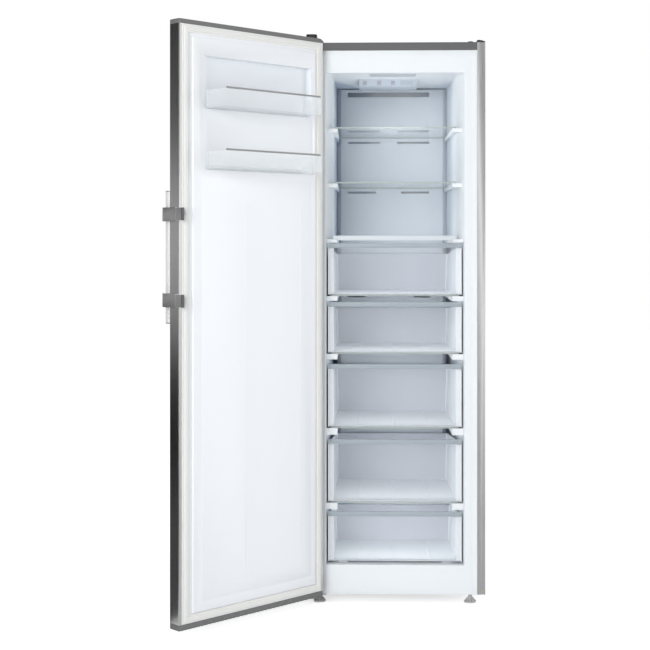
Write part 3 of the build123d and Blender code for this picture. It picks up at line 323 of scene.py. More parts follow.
world = bpy.data.worlds.new("studio_air")
bpy.context.scene.world = world
world.use_nodes = True
air = world.node_tree
air.nodes.clear()
path = air.nodes.new("ShaderNodeLightPath")
choose = air.nodes.new("ShaderNodeMixShader")
world_out = air.nodes.new("ShaderNodeOutputWorld")
seen = larger_of(air, path.outputs["Is Camera Ray"], path.outputs["Is Glossy Ray"])
seen = larger_of(air, seen, path.outputs["Is Transmission Ray"])
air.links.new(seen, choose.inputs["Fac"])
air.links.new(background(air, AIR_COLOUR, AIR_STRENGTH), choose.inputs[1])
air.links.new(background(air, (1.0, 1.0, 1.0), 1.0), choose.inputs[2])
air.links.new(choose.outputs["Shader"], world_out.inputs["Surface"])


def area_lamp(name, place, aim, size, watts):
    """A rectangular area lamp (width, height) at a place, aimed at a point, unseen in gloss.

    Its tilt is the angle between straight up and the way from the aim back to the lamp, and its
    turn about the upright axis is the heading of that way.
    """
    data = bpy.data.lights.new(name, "AREA")
    data.shape = "RECTANGLE"
    data.size, data.size_y = size
    data.energy = watts
    lamp = bpy.data.objects.new(name, data)
    lamp.location = place
    away = np.subtract(place, aim)
    tilt = math.atan2(math.hypot(away[0], away[1]), away[2])
    lamp.rotation_euler = (tilt, 0.0, math.atan2(away[0], -away[1]))
    lamp.visible_glossy = False
    lamp.visible_camera = False
    lamp.visible_transmission = False
    bpy.context.scene.collection.objects.link(lamp)
    return lamp


area_lamp("key_softbox", (-1.9, -5.3, 1.9), (0.0, -0.1, 1.0), (2.4, 2.4), 153.0)
area_lamp("door_softbox", (3.7, -0.1, 1.5), (-0.5, -0.6, 1.0), (1.6, 1.6), 54.0)
area_lamp("shelf_glow", (0.0, GLOW_Y, 1.42), (0.0, 0.3, 1.54), (0.18, 0.46), 0.18)
area_lamp("ceiling_glow", (0.0, -0.16, 1.46), (0.0, -0.13, 1.7), (0.12, 0.08), 0.34)
area_lamp("duct_glow", (0.0, 0.18, 1.5), (0.0, 0.5, 1.5), (0.34, 0.4), 0.08)
for number in range(1, 6):
    low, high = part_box(f"drawer_tub_{number}")
    above = low[2] + DRAWER_GLOW_SHARE * (high[2] - low[2])
    place, aim = (0.0, GLOW_Y, above), (0.0, 0.5, above)
    area_lamp(f"drawer_glow_{number}", place, aim, DRAWER_GLOW_SIZE, DRAWER_GLOW_WATTS)
print(len(bpy.data.lights), "lamps")

# %% [markdown]
# ## Metal finishes
# Each finish takes its grain from the real surface. Steel sheet is brushed, so its noise is drawn
# out a hundredfold along the grain, and one noise drives tone, roughness and bump together. Zinc
# on the rear sheets and hinges has soft clouds instead. A photograph of steel would be quicker, but
# a noise has no seams and stays sharp at any distance.


# %% Metal finishes
BRUSH_TONE = 0.07
BRUSH_BUMP = (0.12, 0.0002)


def brushed(name, colour, stretch, roughness, metallic=1.0):
    """Metal brushed along one axis: long thin noise drives tone, roughness and a shallow bump."""
    material, tree, shader = finish_named(name, colour, roughness, metallic)
    streaks = object_noise(tree, stretch, 1.0, 4.0)
    light = tuple(min(1.0, (1 + BRUSH_TONE) * c) for c in colour)
    dark = tuple((1 - BRUSH_TONE) * c for c in colour)
    tint(tree, streaks, dark, light, shader.inputs["Base Color"])
    wander(tree, streaks, roughness - 0.05, roughness + 0.07, shader.inputs["Roughness"])
    emboss(tree, shader, streaks, *BRUSH_BUMP)
    return material


steel_door = brushed("steel_brushed_door", (0.77, 0.77, 0.765), (900.0, 900.0, 6.0), 0.3)
steel_side = brushed("steel_satin_side", (0.68, 0.683, 0.687), (700.0, 700.0, 9.0), 0.3)
# Painted dark reflection: the top panel is the same steel as the side panels, coloured far darker
# in place of the dark surroundings that its front fold mirrors.
steel_top_painted_reflection = brushed("steel_painted_dark_reflection", (0.205, 0.208, 0.212), (9.0, 700.0, 700.0), 0.42)
bar_satin = brushed("satin_bar", (0.93, 0.93, 0.93), (500.0, 500.0, 5.0), 0.3, 0.4)
bracket_satin = brushed("satin_bracket", (0.74, 0.74, 0.74), (400.0, 400.0, 30.0), 0.42)
strip_metal = brushed("satin_strip", (0.36, 0.36, 0.365), (300.0, 300.0, 300.0), 0.35)


def zinc_sheet(name, colour):
    """Dull zinc-coated sheet with a soft cloudy pattern."""
    material, tree, shader = finish_named(name, colour, 0.5, 1.0)
    clouds = object_noise(tree, (1.0, 1.0, 1.0), 45.0, 5.0)
    tint(tree, clouds, tuple(0.85 * c for c in colour), colour, shader.inputs["Base Color"])
    wander(tree, clouds, 0.42, 0.6, shader.inputs["Roughness"])
    return material


zinc = zinc_sheet("zinc_sheet", (0.62, 0.63, 0.64))
hinge_zinc = zinc_sheet("zinc_hinge", (0.45, 0.45, 0.46))
coil_metal = zinc_sheet("coil_metal", (0.75, 0.76, 0.77))
metal_count = len(bpy.data.materials)
print(metal_count, "finishes with the stage")

# %% [markdown]
# ## Plastic, rubber and glass finishes
# Moulded plastic has a faint ripple from the tool that shows in its gloss, and its white drifts a
# little from place to place. Clear parts are thin walls, so a mostly transparent surface with a
# sharp gloss is closer to them than deep refracting glass, and it stays bright between white walls.


# %% Plastic finishes
def moulded(name, colour, roughness, scale=260.0, depth=0.00008, shade=0.96):
    """Moulded plastic: a faint ripple in the gloss and a hardly visible change of tone."""
    material, tree, shader = finish_named(name, colour, roughness)
    ripple = object_noise(tree, (1.0, 1.0, 1.0), scale, 2.0)
    drift = object_noise(tree, (1.0, 1.0, 1.0), 3.0, 2.0)
    tint(tree, drift, tuple(shade * c for c in colour), colour, shader.inputs["Base Color"])
    wander(tree, ripple, roughness - 0.04, roughness + 0.06, shader.inputs["Roughness"])
    emboss(tree, shader, ripple, 0.25, depth)
    return material


liner_white = moulded("liner_white", (0.86, 0.895, 0.92), 0.35, 12.0, 0.00004, 0.985)
door_white = moulded("door_liner_white", (0.87, 0.89, 0.915), 0.35, 12.0, 0.00004, 0.985)
# Painted shade: the duct cover is white plastic like the liner, coloured a darker blue-grey for the
# shade deep at the rear of the cabinet.
duct_painted_shade = moulded("duct_painted_shade", (0.62, 0.665, 0.715), 0.36, 20.0, 0.00005)
trim_white = moulded("trim_white", (0.70, 0.75, 0.79), 0.35)
# Painted shade: the control housing takes the blue-grey tone of the shaded ceiling round it.
housing_painted_shade = moulded("control_panel_painted_shade", (0.56, 0.61, 0.68), 0.5)
black_plastic = moulded("black_plastic", (0.035, 0.035, 0.04), 0.5, 900.0, 0.0001)
dark_plastic = moulded("dark_plastic", (0.11, 0.11, 0.115), 0.5, 900.0, 0.0001)
cap_grey = moulded("door_end_grey", (0.165, 0.165, 0.165), 0.45, 900.0, 0.0001)
foot_grey = moulded("foot_plastic", (0.54, 0.54, 0.54), 0.45, 700.0, 0.0001)
seal_grey = moulded("seal_rubber", (0.81, 0.808, 0.79), 0.6, 600.0, 0.0001)
display_smoke = moulded("display_smoke", (0.50, 0.54, 0.61), 0.3)
lamp_frost = moulded("lamp_frost", (0.56, 0.59, 0.63), 0.45)
button_grey = moulded("button_grey", (0.43, 0.44, 0.51), 0.45)
motor_black = moulded("motor_black", (0.03, 0.03, 0.032), 0.3)
foam_cream = moulded("foam_cream", (0.80, 0.72, 0.50), 0.9, 400.0, 0.0005)
tub_white = moulded("tub_white", (0.90, 0.93, 0.96), 0.35, 60.0, 0.00004)
print(len(bpy.data.materials) - metal_count, "opaque plastics")


# %% Clear finishes
def see_through(name, colour, opacity, roughness):
    """A thin clear wall: mostly transparent, with a tone of its own and a sharp gloss."""
    material, tree, shader = finish_named(name, colour, roughness)
    ripple = object_noise(tree, (1.0, 1.0, 1.0), 9.0, 1.0)
    wander(tree, ripple, opacity * 0.98, opacity * 1.02, shader.inputs["Alpha"])
    fine = object_noise(tree, (1.0, 1.0, 1.0), 500.0, 1.0)
    wander(tree, fine, roughness, roughness + 0.05, shader.inputs["Roughness"])
    material.surface_render_method = "BLENDED"
    return material


drawer_clear = see_through("drawer_clear", (0.80, 0.85, 0.90), 0.1, 0.08)
rail_clear = see_through("drawer_rail_clear", (0.53, 0.59, 0.64), 0.6, 0.12)
# Painted shade: the tubs' rear walls, darker and bluer than their white sides, for the shade deep
# in each drawer.
tub_rear_painted_shade = see_through("tub_rear_painted_shade", (0.66, 0.69, 0.76), 0.72, 0.3)
rack_clear = see_through("rack_clear", (0.88, 0.92, 0.94), 0.22, 0.08)
shelf_glass = see_through("shelf_glass", (0.62, 0.70, 0.74), 0.18, 0.03)
glass_edge = see_through("glass_ground_edge", (0.46, 0.51, 0.49), 0.85, 0.2)
print(len(bpy.data.materials), "finishes in all")

# %% [markdown]
# ## Painted shade with depth
# Two shallow recesses in the door get a painted shade a touch darker than the face round them,
# and the side walls of the cabinet get a painted shade, darker and bluer towards the rear, for
# the light that reaches there less. The amount grows with the distance below a level, which is
# one dot product of the object's coordinates with a direction: the way that the door's face
# looks, or one that leans from a wall to the front.

# %% Painted shade with depth
joints = {joint["name"]: joint for joint in record["behaviour"]["joints"]}
hinge = joints["door_hinge"]
DOOR_OPEN = math.radians(-hinge["range_deg"][0])
PIN = np.array(hinge["pos_m"][:2])
DOOR_INNER = -0.3045
PLATEAU = -0.299
RECESS_DEPTH = 0.018
WALL_LEAN = (0.92, -0.39)
WALL_LEVEL = -0.14

inner_way = (math.sin(DOOR_OPEN), math.cos(DOOR_OPEN), 0.0)
plateau_at = PLATEAU - PIN[1] + inner_way[0] * PIN[0] + inner_way[1] * PIN[1]


def paint_shade_below(material, way, level, depth, shade):
    """Painted shade: the base colour times a shade that is reached at the depth below a level.

    The height above the level is the dot product of the place and the way, less the level.
    """
    tree = material.node_tree
    socket = tree.nodes["Principled BSDF"].inputs["Base Color"]
    before = socket.links[0].from_socket
    place = tree.nodes.new("ShaderNodeTexCoord")
    dot = tree.nodes.new("ShaderNodeVectorMath")
    dot.operation = "DOT_PRODUCT"
    dot.inputs[1].default_value = way
    fall = tree.nodes.new("ShaderNodeMapRange")
    fall.inputs["From Min"].default_value = level - depth
    fall.inputs["From Max"].default_value = level - 0.1 * depth
    mix = tree.nodes.new("ShaderNodeMix")
    mix.data_type = "RGBA"
    mix.blend_type = "MULTIPLY"
    mix.inputs["Factor"].default_value = 1.0
    ramp = tree.nodes.new("ShaderNodeValToRGB")
    ramp.color_ramp.elements[0].color = (*shade, 1.0)
    tree.links.new(place.outputs["Object"], dot.inputs[0])
    tree.links.new(dot.outputs["Value"], fall.inputs["Value"])
    tree.links.new(fall.outputs["Result"], ramp.inputs["Fac"])
    tree.links.new(before, mix.inputs["A"])
    tree.links.new(ramp.outputs["Color"], mix.inputs["B"])
    tree.links.new(mix.outputs["Result"], socket)


lean_x, lean_y = WALL_LEAN
# Painted shade: the door's recesses darker, the side walls darker and bluer towards the rear.
paint_shade_below(door_white, inner_way, plateau_at, RECESS_DEPTH, (0.90, 0.92, 0.94))
paint_shade_below(liner_white, (lean_x, lean_y, 0.0), WALL_LEVEL, 0.035, (0.68, 0.74, 0.83))
paint_shade_below(liner_white, (-lean_x, lean_y, 0.0), WALL_LEVEL, 0.05, (0.84, 0.87, 0.91))
print("face of the door liner at", round(plateau_at, 4))

# %% [markdown]
# ## Rounded edges
# No moulded or folded edge is perfectly sharp: a thin highlight runs along it. For many nodes the
# right shape is there already, so a merged copy of the solid gets a small Bevel that only touches
# edges sharper than thirty-five degrees, and then stands for the node.


# %% Helpers for nodes
WELD = 2e-6
FLAT_ANGLE = math.radians(0.6)
SHARP_ANGLE = math.radians(35.0)


def stand_in(piece, node):
    """The piece rides with the node's body and hides the node."""
    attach(piece, body_of_node[node])
    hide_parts(node)
    return piece


def softened(node, width, material, segments=2):
    """A merged copy of a solid with its sharp edges rounded by the given width in metres."""
    copy = bpy.data.objects.new(node + "_soft", nodes[node].data.copy())
    bpy.context.scene.collection.objects.link(copy)
    work = bmesh.new()
    work.from_mesh(copy.data)
    bmesh.ops.remove_doubles(work, verts=work.verts, dist=WELD)
    bmesh.ops.dissolve_limit(work, angle_limit=FLAT_ANGLE, verts=work.verts, edges=work.edges)
    work.to_mesh(copy.data)
    work.free()
    bevel = copy.modifiers.new("edge", "BEVEL")
    bevel.width = width
    bevel.segments = segments
    bevel.limit_method = "ANGLE"
    bevel.angle_limit = SHARP_ANGLE
    bevel.use_clamp_overlap = True
    bevel.harden_normals = True
    copy.data.materials.clear()
    copy.data.materials.append(material)
    copy.data.shade_smooth()
    return stand_in(copy, node)


def clad(material, *names):
    """Gives whole CAD nodes a finish."""
    for name in names:
        nodes[name].data.materials.clear()
        nodes[name].data.materials.append(material)


print("rounds edges sharper than", round(math.degrees(SHARP_ANGLE)), "degrees")

# %% Rounded copies
EDGES = (
    ("inner_liner", 0.0009, liner_white),
    ("duct_cover", 0.0012, duct_painted_shade),
    ("door_liner", 0.0009, door_white),
    ("door_skin", 0.00045, steel_door),
    ("door_top_cap", 0.0008, cap_grey),
    ("door_bottom_cap", 0.0008, cap_grey),
    ("side_panel_left", 0.0004, steel_side),
    ("side_panel_right", 0.0004, steel_side),
    ("top_panel", 0.0004, steel_top_painted_reflection),
    ("hinge_cover", 0.0012, black_plastic),
    ("control_housing", 0.004, housing_painted_shade, 3),
    ("light_lens", 0.0006, lamp_frost),
    ("shelf_trim", 0.0008, trim_white),
    ("rack_upper", 0.0007, rack_clear),
    ("rack_lower", 0.0007, rack_clear),
    ("handle_brackets", 0.0012, bracket_satin),
    ("handle_noses", 0.001, dark_plastic),
    ("display_lens", 0.0002, display_smoke),
    ("top_plugs", 0.0006, black_plastic),
    *[(f"button_{number}", 0.0004, button_grey) for number in range(1, 4)],
    *[(f"foot_{side}", 0.0004, foot_grey) for side in ("left", "right")],
)
for row in EDGES:
    softened(*row)
clad(zinc, "back_panel", "base_pan", "bay_cover")
clad(foam_cream, "cabinet_foam", "door_foam")
clad(coil_metal, "evaporator")
clad(motor_black, "fan_motor", "compressor")
clad(trim_white, "fan_blades")
clad(dark_plastic, "drip_tray", "cord_gland", "roller_left", "roller_right", "hinge_bushes")
clad(hinge_zinc, "roller_brackets", "top_hinge_bracket", "bottom_hinge_bracket", "hinge_pins")
print(len(EDGES), "rounded copies")

# %% [markdown]
# ## Surfaces from arrays
# The finer pieces are surfaces worked out with numpy. Each is a row of rings, and every ring is the
# same closed outline at another place, so one array of the shape (rings, points, 3) holds the
# piece. Joining each ring to the next gives the skin, and a face across the first and the last
# closes it. Such a piece could be extruded by hand, but then no edge of it would follow the frame.


# %% Skins over rings
def skin_of(rings, closed_path=False):
    """Vertices and faces of a skin: quads from each ring to the next, and a cap on an open end.

    Point p of ring r has the number r * points + p. Its quad goes on to point p + 1 of the same
    ring and to the same two points of ring r + 1, and both counts start again after the last.
    """
    count, points = rings.shape[:2]
    ring = np.arange(count if closed_path else count - 1)[:, None]
    point = np.arange(points)
    near, far = ring * points, (ring + 1) % count * points
    beside = (point + 1) % points
    quads = np.stack((near + point, near + beside, far + beside, far + point), axis=-1)
    faces = quads.reshape(-1, 4).tolist()
    if not closed_path:
        last = (count - 1) * points
        faces += [point[::-1].tolist(), (last + point).tolist()]
    return rings.reshape(-1, 3), faces


def piece_from(name, skins, materials, node, pick=None, crease=35.0):
    """One object from several skins, its faces turned outwards, standing for a node."""
    vertices, faces = [], []
    start = 0
    for points, quads in skins:
        vertices.append(points)
        faces += [[start + corner for corner in face] for face in quads]
        start += len(points)
    mesh = bpy.data.meshes.new(name)
    mesh.from_pydata(np.concatenate(vertices).tolist(), [], faces)
    work = bmesh.new()
    work.from_mesh(mesh)
    bmesh.ops.recalc_face_normals(work, faces=work.faces)
    work.to_mesh(mesh)
    work.free()
    for material in materials:
        mesh.materials.append(material)
    if pick is not None:
        centres = np.empty(len(mesh.polygons) * 3)
        normals = np.empty(len(mesh.polygons) * 3)
        mesh.polygons.foreach_get("center", centres)
        mesh.polygons.foreach_get("normal", normals)
        chosen = pick(centres.reshape(-1, 3), normals.reshape(-1, 3))
        mesh.polygons.foreach_set("material_index", chosen)
    mesh.shade_smooth()
    mesh.set_sharp_from_angle(angle=math.radians(crease))
    piece = bpy.data.objects.new(name, mesh)
    bpy.context.scene.collection.objects.link(piece)
    return stand_in(piece, node)


print("skins and pieces are ready")


# %% Outlines and rings
def rounded(corners, radius, steps=4):
    """A closed outline with each corner replaced by a quadratic curve.

    The curve starts and ends the radius away from the corner along its two sides, and bends
    towards it: (1 - t)^2 of the start, 2 t (1 - t) of the corner and t^2 of the end.
    """
    corners = np.asarray(corners, float)
    back = np.roll(corners, 1, axis=0) - corners
    ahead = np.roll(corners, -1, axis=0) - corners
    reach = np.broadcast_to(np.asarray(radius, float), len(corners))[:, None]
    start = corners + back / np.linalg.norm(back, axis=1, keepdims=True) * reach
    end = corners + ahead / np.linalg.norm(ahead, axis=1, keepdims=True) * reach
    t = np.linspace(0.0, 1.0, steps + 1)[None, :, None]
    curve = (1 - t) ** 2 * start[:, None] + 2 * t * (1 - t) * corners[:, None] + t**2 * end[:, None]
    return curve.reshape(-1, 2)


def along_x(outline, x_low, x_high, ease=0.0006):
    """Rings of a (y, z) outline carried along X, drawn in a little at both ends.

    An end ring is the outline shrunk about its middle by the factor 1 - ease / furthest reach.
    """
    x = np.array([x_low, x_low + ease, x_high - ease, x_high])
    draw_in = np.array([ease, 0.0, 0.0, ease])
    middle = outline.mean(axis=0)
    span = np.abs(outline - middle).max()
    scale = 1.0 - draw_in / span
    sides = middle + (outline - middle)[None] * scale[:, None, None]
    x_grid = np.broadcast_to(x[:, None, None], (len(x), len(outline), 1))
    return np.concatenate((x_grid, sides), axis=2)


def slab(corners, radius, low, high, ease=0.0008):
    """Rings of a rounded plan raised from low to high, drawn in by the ease at both ends.

    A drawn-in ring is the plan shrunk about its middle by 1 - ease / reach along each axis.
    """
    plan = rounded(corners, radius, 6)
    middle = (plan.min(axis=0) + plan.max(axis=0)) / 2
    reach = (plan.max(axis=0) - plan.min(axis=0)) / 2
    inset = np.array([ease, 0.0, 0.0, ease])
    scale = 1.0 - inset[:, None, None] / reach
    flat = middle + (plan - middle)[None] * scale
    height = np.array([low, low + ease, high - ease, high])
    upright = np.broadcast_to(height[:, None, None], (*flat.shape[:2], 1))
    return np.concatenate((flat, upright), axis=2)


def block_plan(x_low, x_high, y_low, y_high):
    """The four corners of an upright block's plan."""
    return [(x_low, y_low), (x_high, y_low), (x_high, y_high), (x_low, y_high)]


def turned(centre, stations, sides=48):
    """Rings of a turned shape: each (radius, height) station is a circle about an upright axis.

    A point is the centre plus the radius times the cosine and the sine of its angle.
    """
    angle = np.linspace(0.0, 2 * math.pi, sides, endpoint=False)
    circle = np.stack((np.cos(angle), np.sin(angle)), axis=1)
    stations = np.asarray(stations, float)
    flat = np.asarray(centre)[None, None] + circle[None] * stations[:, None, :1]
    height = np.broadcast_to(stations[:, None, 1:], (len(stations), sides, 1))
    return np.concatenate((flat, height), axis=2)


print("outlines and rings are ready")

# %% [markdown]
# ## The duct cover's edge
# The rear cover carries a soft lip that closes the joint to the liner, at both sides and on top.
# It is one small section carried up, across and down again, with a mitre at each upper corner:
# every point of the section is as far outside the path on the side as it is above it on top.

# %% Lip of the duct cover
CABINET_FRONT = -0.2975
LIP_HALF = 0.194
LIP_Z = (1.207, 1.7455)
LIP_WIDE = 0.0046
LIP_FACE, LIP_EDGE, LIP_BACK = 0.4625, 0.4655, 0.472
LIP_ROUND = 0.0009
SIDE_AND_END = ((-1, 0), (-1, 1), (1, 1), (1, 0))

lip_corners = [(0.0, LIP_FACE), (LIP_WIDE, LIP_EDGE), (LIP_WIDE, LIP_BACK), (0.0, LIP_BACK)]
outward, depth = rounded(lip_corners, LIP_ROUND).T


def lip_ring(side, end):
    """The section at one corner: outwards is added to the half width and, on top, to the height."""
    x = side * (LIP_HALF + outward)
    return np.column_stack((x, CABINET_FRONT + depth, LIP_Z[end] + end * outward))


lip_rings = np.array([lip_ring(*corner) for corner in SIDE_AND_END])
piece_from("duct_cover_lip", [skin_of(lip_rings)], [duct_painted_shade], "duct_cover")
print("duct lip, box", lip_rings.min(axis=(0, 1)).round(3), lip_rings.max(axis=(0, 1)).round(3))

# %% [markdown]
# ## Drawers
# A drawer is three mouldings: a milky white tub, a flat clear front, and a grip rail with a hollow
# for the fingers along its top. The tub's rim slopes down towards the rear. Its wall is one section
# carried round three sides, so the height of each section follows the slope, and the floor is
# another section, with long ribs, carried from front to rear. Two posts close the walls in front.

# %% Sizes of a tub
TUB_WALL = 0.0025
TUB_FLOOR = 0.003
TUB_DRAFT = 0.007
RIM_REACH = 0.002
RIM_THICK = 0.003
RIM_SLOPE = 0.026
TUB_CORNER = 0.013
TUB_TAPER = 0.013 / 0.4097
NOTCH_FROM, NOTCH_TO, NOTCH_DEEP = 0.031, 0.015, 0.005
STEP = 0.0004
POST = 0.016
RIB_SHARES = np.array([-0.58, 0.0, 0.58])
RIB_WIDE = 0.016
RIB_HIGH = 0.0015
print("tub wall", 1000 * TUB_WALL, "mm, rim slope", 1000 * RIM_SLOPE, "mm")


# %% Drawer tubs
def tub_outline(front, rear, half_front):
    """Points along the tub's top edge, left side, rear and right side, with outward directions.

    The half width falls by the taper times the distance from the front, and each rear corner is a
    quarter circle: its centre plus the radius times the cosine and the sine of the turn.
    """
    plain = np.linspace(front, rear - NOTCH_FROM - STEP, 12)
    side = np.append(plain, rear - np.array([NOTCH_FROM, NOTCH_TO, NOTCH_TO - STEP, TUB_CORNER]))
    half = half_front - TUB_TAPER * (side - front)
    turn = np.linspace(0.0, math.pi / 2, 7)[1:]
    corner_half = half[-1] - TUB_CORNER
    arc_x = corner_half + TUB_CORNER * np.cos(turn)
    arc_y = rear - TUB_CORNER + TUB_CORNER * np.sin(turn)
    x = np.concatenate((half, arc_x))
    y = np.concatenate((side, arc_y))
    out_x = np.concatenate((np.ones_like(side), np.cos(turn)))
    out_y = np.concatenate((np.zeros_like(side), np.sin(turn)))
    path = np.stack((np.append(-x, x[::-1]), np.append(y, y[::-1])), axis=1)
    outward = np.stack((np.append(-out_x, out_x[::-1]), np.append(out_y, out_y[::-1])), axis=1)
    return path, outward


def tub_walls(path, outward, floor, top, front, rear):
    """The wall section carried round the path, as high at each point as the sloping rim.

    A section point has an outward offset, a share of the wall's height and a drop below the rim.
    Its height is the floor plus the share of (rim - floor) less the drop, where the rim is the top
    less the slope times the way from front to rear, and the notch's depth lower in the notch.
    """
    section = np.array(
        [
            (-TUB_DRAFT, 0.0, 0.0),
            (0.0, 1.0, RIM_THICK),
            (RIM_REACH, 1.0, RIM_THICK),
            (RIM_REACH, 1.0, 0.0006),
            (RIM_REACH - 0.0006, 1.0, 0.0),
            (-TUB_WALL + 0.0005, 1.0, 0.0),
            (-TUB_WALL, 1.0, 0.0005),
            (-TUB_WALL - TUB_DRAFT, 0.0, 0.0),
        ]
    )
    offset, share, below = section.T
    behind = rear - path[:, 1]
    notched = (behind > NOTCH_TO - STEP / 4) & (behind < NOTCH_FROM + STEP / 4)
    rim = top - RIM_SLOPE * (path[:, 1] - front) / (rear - front) - NOTCH_DEEP * notched
    height = floor + share[None] * (rim - floor)[:, None] - below[None]
    flat = path[:, None] + outward[:, None] * offset[None, :, None]
    return np.concatenate((flat, height[:, :, None]), axis=2)


def tub_floor(front, rear, half_front, floor):
    """The floor's section, flat below and with three low ribs above, carried from front to rear.

    A rib's height falls off from its middle as exp(-(distance / width)^2), and the half width of
    the floor falls with the taper of the walls.
    """
    y = np.linspace(front, rear - TUB_WALL, 8)
    half = half_front - TUB_TAPER * (y - front) - TUB_DRAFT - TUB_WALL / 2
    across = np.linspace(-1.0, 1.0, 161)
    ribs = np.exp(-(((across[:, None] - RIB_SHARES) / RIB_WIDE) ** 2)).sum(axis=1)
    upper = floor + TUB_FLOOR + RIB_HIGH * ribs
    share = np.append(across, across[::-1])
    height = np.append(upper, np.full_like(upper, floor))
    x = half[:, None] * share[None]
    y_grid = np.broadcast_to(y[:, None], x.shape)
    z_grid = np.broadcast_to(height[None], x.shape)
    return np.stack((x, y_grid, z_grid), axis=2)


def painted_shade_rear_faces(centres, normals):
    """1 for the faces of the rear wall, which take a darker blue-grey finish as painted shade, and
    0 for the rest.
    """
    across = np.abs(normals[:, 1]) > 0.8
    behind = centres[:, 1] > centres[:, 1].max() - 0.02
    return (across & behind).astype(np.int32)


for number in range(1, 6):
    low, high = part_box(f"drawer_tub_{number}")
    front, rear = low[1], high[1] - RIM_REACH
    half_front = high[0] - RIM_REACH
    path, outward = tub_outline(front + TUB_WALL / 2, rear, half_front)
    skins = [
        skin_of(tub_walls(path, outward, low[2], high[2], front, rear)),
        skin_of(tub_floor(front + TUB_WALL / 2, rear, half_front, low[2])),
    ]
    for hand in (-1, 1):
        sides = sorted((hand * (high[0] - POST), hand * high[0]))
        plan = block_plan(*sides, front, front + TUB_WALL)
        skins.append(skin_of(slab(plan, 0.0008, low[2], high[2], 0.0005)))
    moulding = f"drawer_tub_{number}_moulding"
    piece_from(moulding, skins, [tub_white, tub_rear_painted_shade], f"drawer_tub_{number}", pick=painted_shade_rear_faces)
print("five tubs")

# %% [markdown]
# ## Clear fronts and grip rails
# The front of a drawer is a flat clear plate with a white rib at each end and a small lip along its
# foot. The rail on top is one outline carried from end to end: a nose in front, a hollow behind it
# for the fingers, and a flat top. An outline keeps the hollow's thickness right everywhere, which
# is harder to do when a block is carved.

# %% Sizes of a front
PANEL_THICK = 0.004
PANEL_DROP = 0.005
FOOT_LIP, FOOT_HIGH, FOOT_LOW = 0.003, 0.006, 0.005
RAIL_HEIGHT = 0.016
RAIL_TOP = 0.004
NOSE_HIGH = 0.011
NOSE_FOLD, NOSE_BACK = 0.003, 0.0045
RAIL_ROUNDS = [0.0015, 0.004, 0.002, 0.0007, 0.0007, 0.0005, 0.001, 0.0004, 0.0004]
SKIRT = (0.150, 0.200)
END_RIB = 0.0035
HAIR = 0.0001
print("rail", 1000 * RAIL_HEIGHT, "mm high, panel", 1000 * PANEL_THICK, "mm thick")


# %% Clear fronts and grip rails
def end_faces(centres, normals):
    """1 for the faces of the ribs at the panel's two ends, 0 for the clear panel between them."""
    along = np.abs(centres[:, 0])
    return (along > along.max() - END_RIB - HAIR).astype(np.int32)


def panel_outline(face, back, base, top):
    """The (y, z) outline of the clear plate."""
    high = top - PANEL_DROP
    return rounded([(face, base), (back, base), (back, high), (face, high)], 0.001, 3)


def lip_outline(face, base):
    """The (y, z) outline of the small lip along the plate's foot."""
    step = face - FOOT_LIP
    corners = [(step, base), (face, base), (face, base + FOOT_HIGH), (step, base + FOOT_LOW)]
    return rounded(corners, 0.0008, 3)


def rail_outline(front, face, back, top):
    """The (y, z) outline of the grip rail: over the top, round the nose and through the hollow."""
    foot, roof, inner = top - RAIL_HEIGHT, top - RAIL_TOP, face - 0.001
    corners = [
        (back, top),
        (front, top),
        (front, top - NOSE_HIGH),
        (front + NOSE_FOLD, foot),
        (front + NOSE_BACK, foot),
        (front + NOSE_FOLD, roof),
        (inner, roof),
        (inner, foot),
        (back, foot),
    ]
    return rounded(corners, RAIL_ROUNDS, 5)


for number in range(1, 6):
    low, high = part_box(f"drawer_front_{number}")
    front, back, top = low[1], high[1], high[2]
    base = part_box(f"drawer_tub_{number}")[0][2] - 0.0004
    face = back - PANEL_THICK
    outlines = (panel_outline(face, back, base, top), lip_outline(face, base))
    skins = [skin_of(along_x(outline, low[0], high[0])) for outline in outlines]
    for hand in (-1, 1):
        sides = sorted((hand * (high[0] - END_RIB), hand * high[0]))
        plan = block_plan(*sides, face - 0.002, back)
        skins.append(skin_of(slab(plan, 0.0007, base, top - RAIL_HEIGHT, 0.0005)))
        if base - low[2] > 0.002:
            sides = sorted((hand * SKIRT[0], hand * SKIRT[1]))
            plan = block_plan(*sides, face, back)
            skins.append(skin_of(slab(plan, 0.0007, low[2], base + 0.001, 0.0005)))
    node = f"drawer_front_{number}"
    piece_from(f"drawer_panel_{number}", skins, [drawer_clear, tub_white], node, pick=end_faces)
    rail = rail_outline(front, face, back, top)
    rail_skin = skin_of(along_x(rail, low[0], high[0]))
    piece_from(f"drawer_rail_{number}", [rail_skin], [rail_clear], node)
print("five fronts with their rails")

# %% [markdown]
# ## Glass shelves
# Toughened plates have rounded corners and a ground edge, which looks greener and duller than the
# clear face. Each plate is its rounded plan at four heights, drawn in a little at the top and the
# bottom, and the faces of the narrow edge take the darker finish.

# %% Glass shelves
FLAT_NORMAL = 0.95
PLATE_CORNER = 0.008
PLATES = (
    ("upper_shelves", 0.1965, 0.005, (1.573, 1.391, 1.206)),
    ("drawer_shelves", 0.204, 0.0045, (1.0165, 0.8245, 0.5785, 0.3305)),
)


def edge_faces(centres, normals):
    """1 for the faces of the plate's rim, 0 for its two flat sides."""
    return (np.abs(normals[:, 2]) < FLAT_NORMAL).astype(np.int32)


for node, half_back, thick, tops in PLATES:
    low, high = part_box(node)
    near, far = low[1], high[1]
    corners = [(-high[0], near), (high[0], near), (half_back, far), (-half_back, far)]
    skins = [skin_of(slab(corners, PLATE_CORNER, top - thick, top)) for top in tops]
    piece_from(node + "_ground", skins, [shelf_glass, glass_edge], node, pick=edge_faces)
print("seven glass plates")

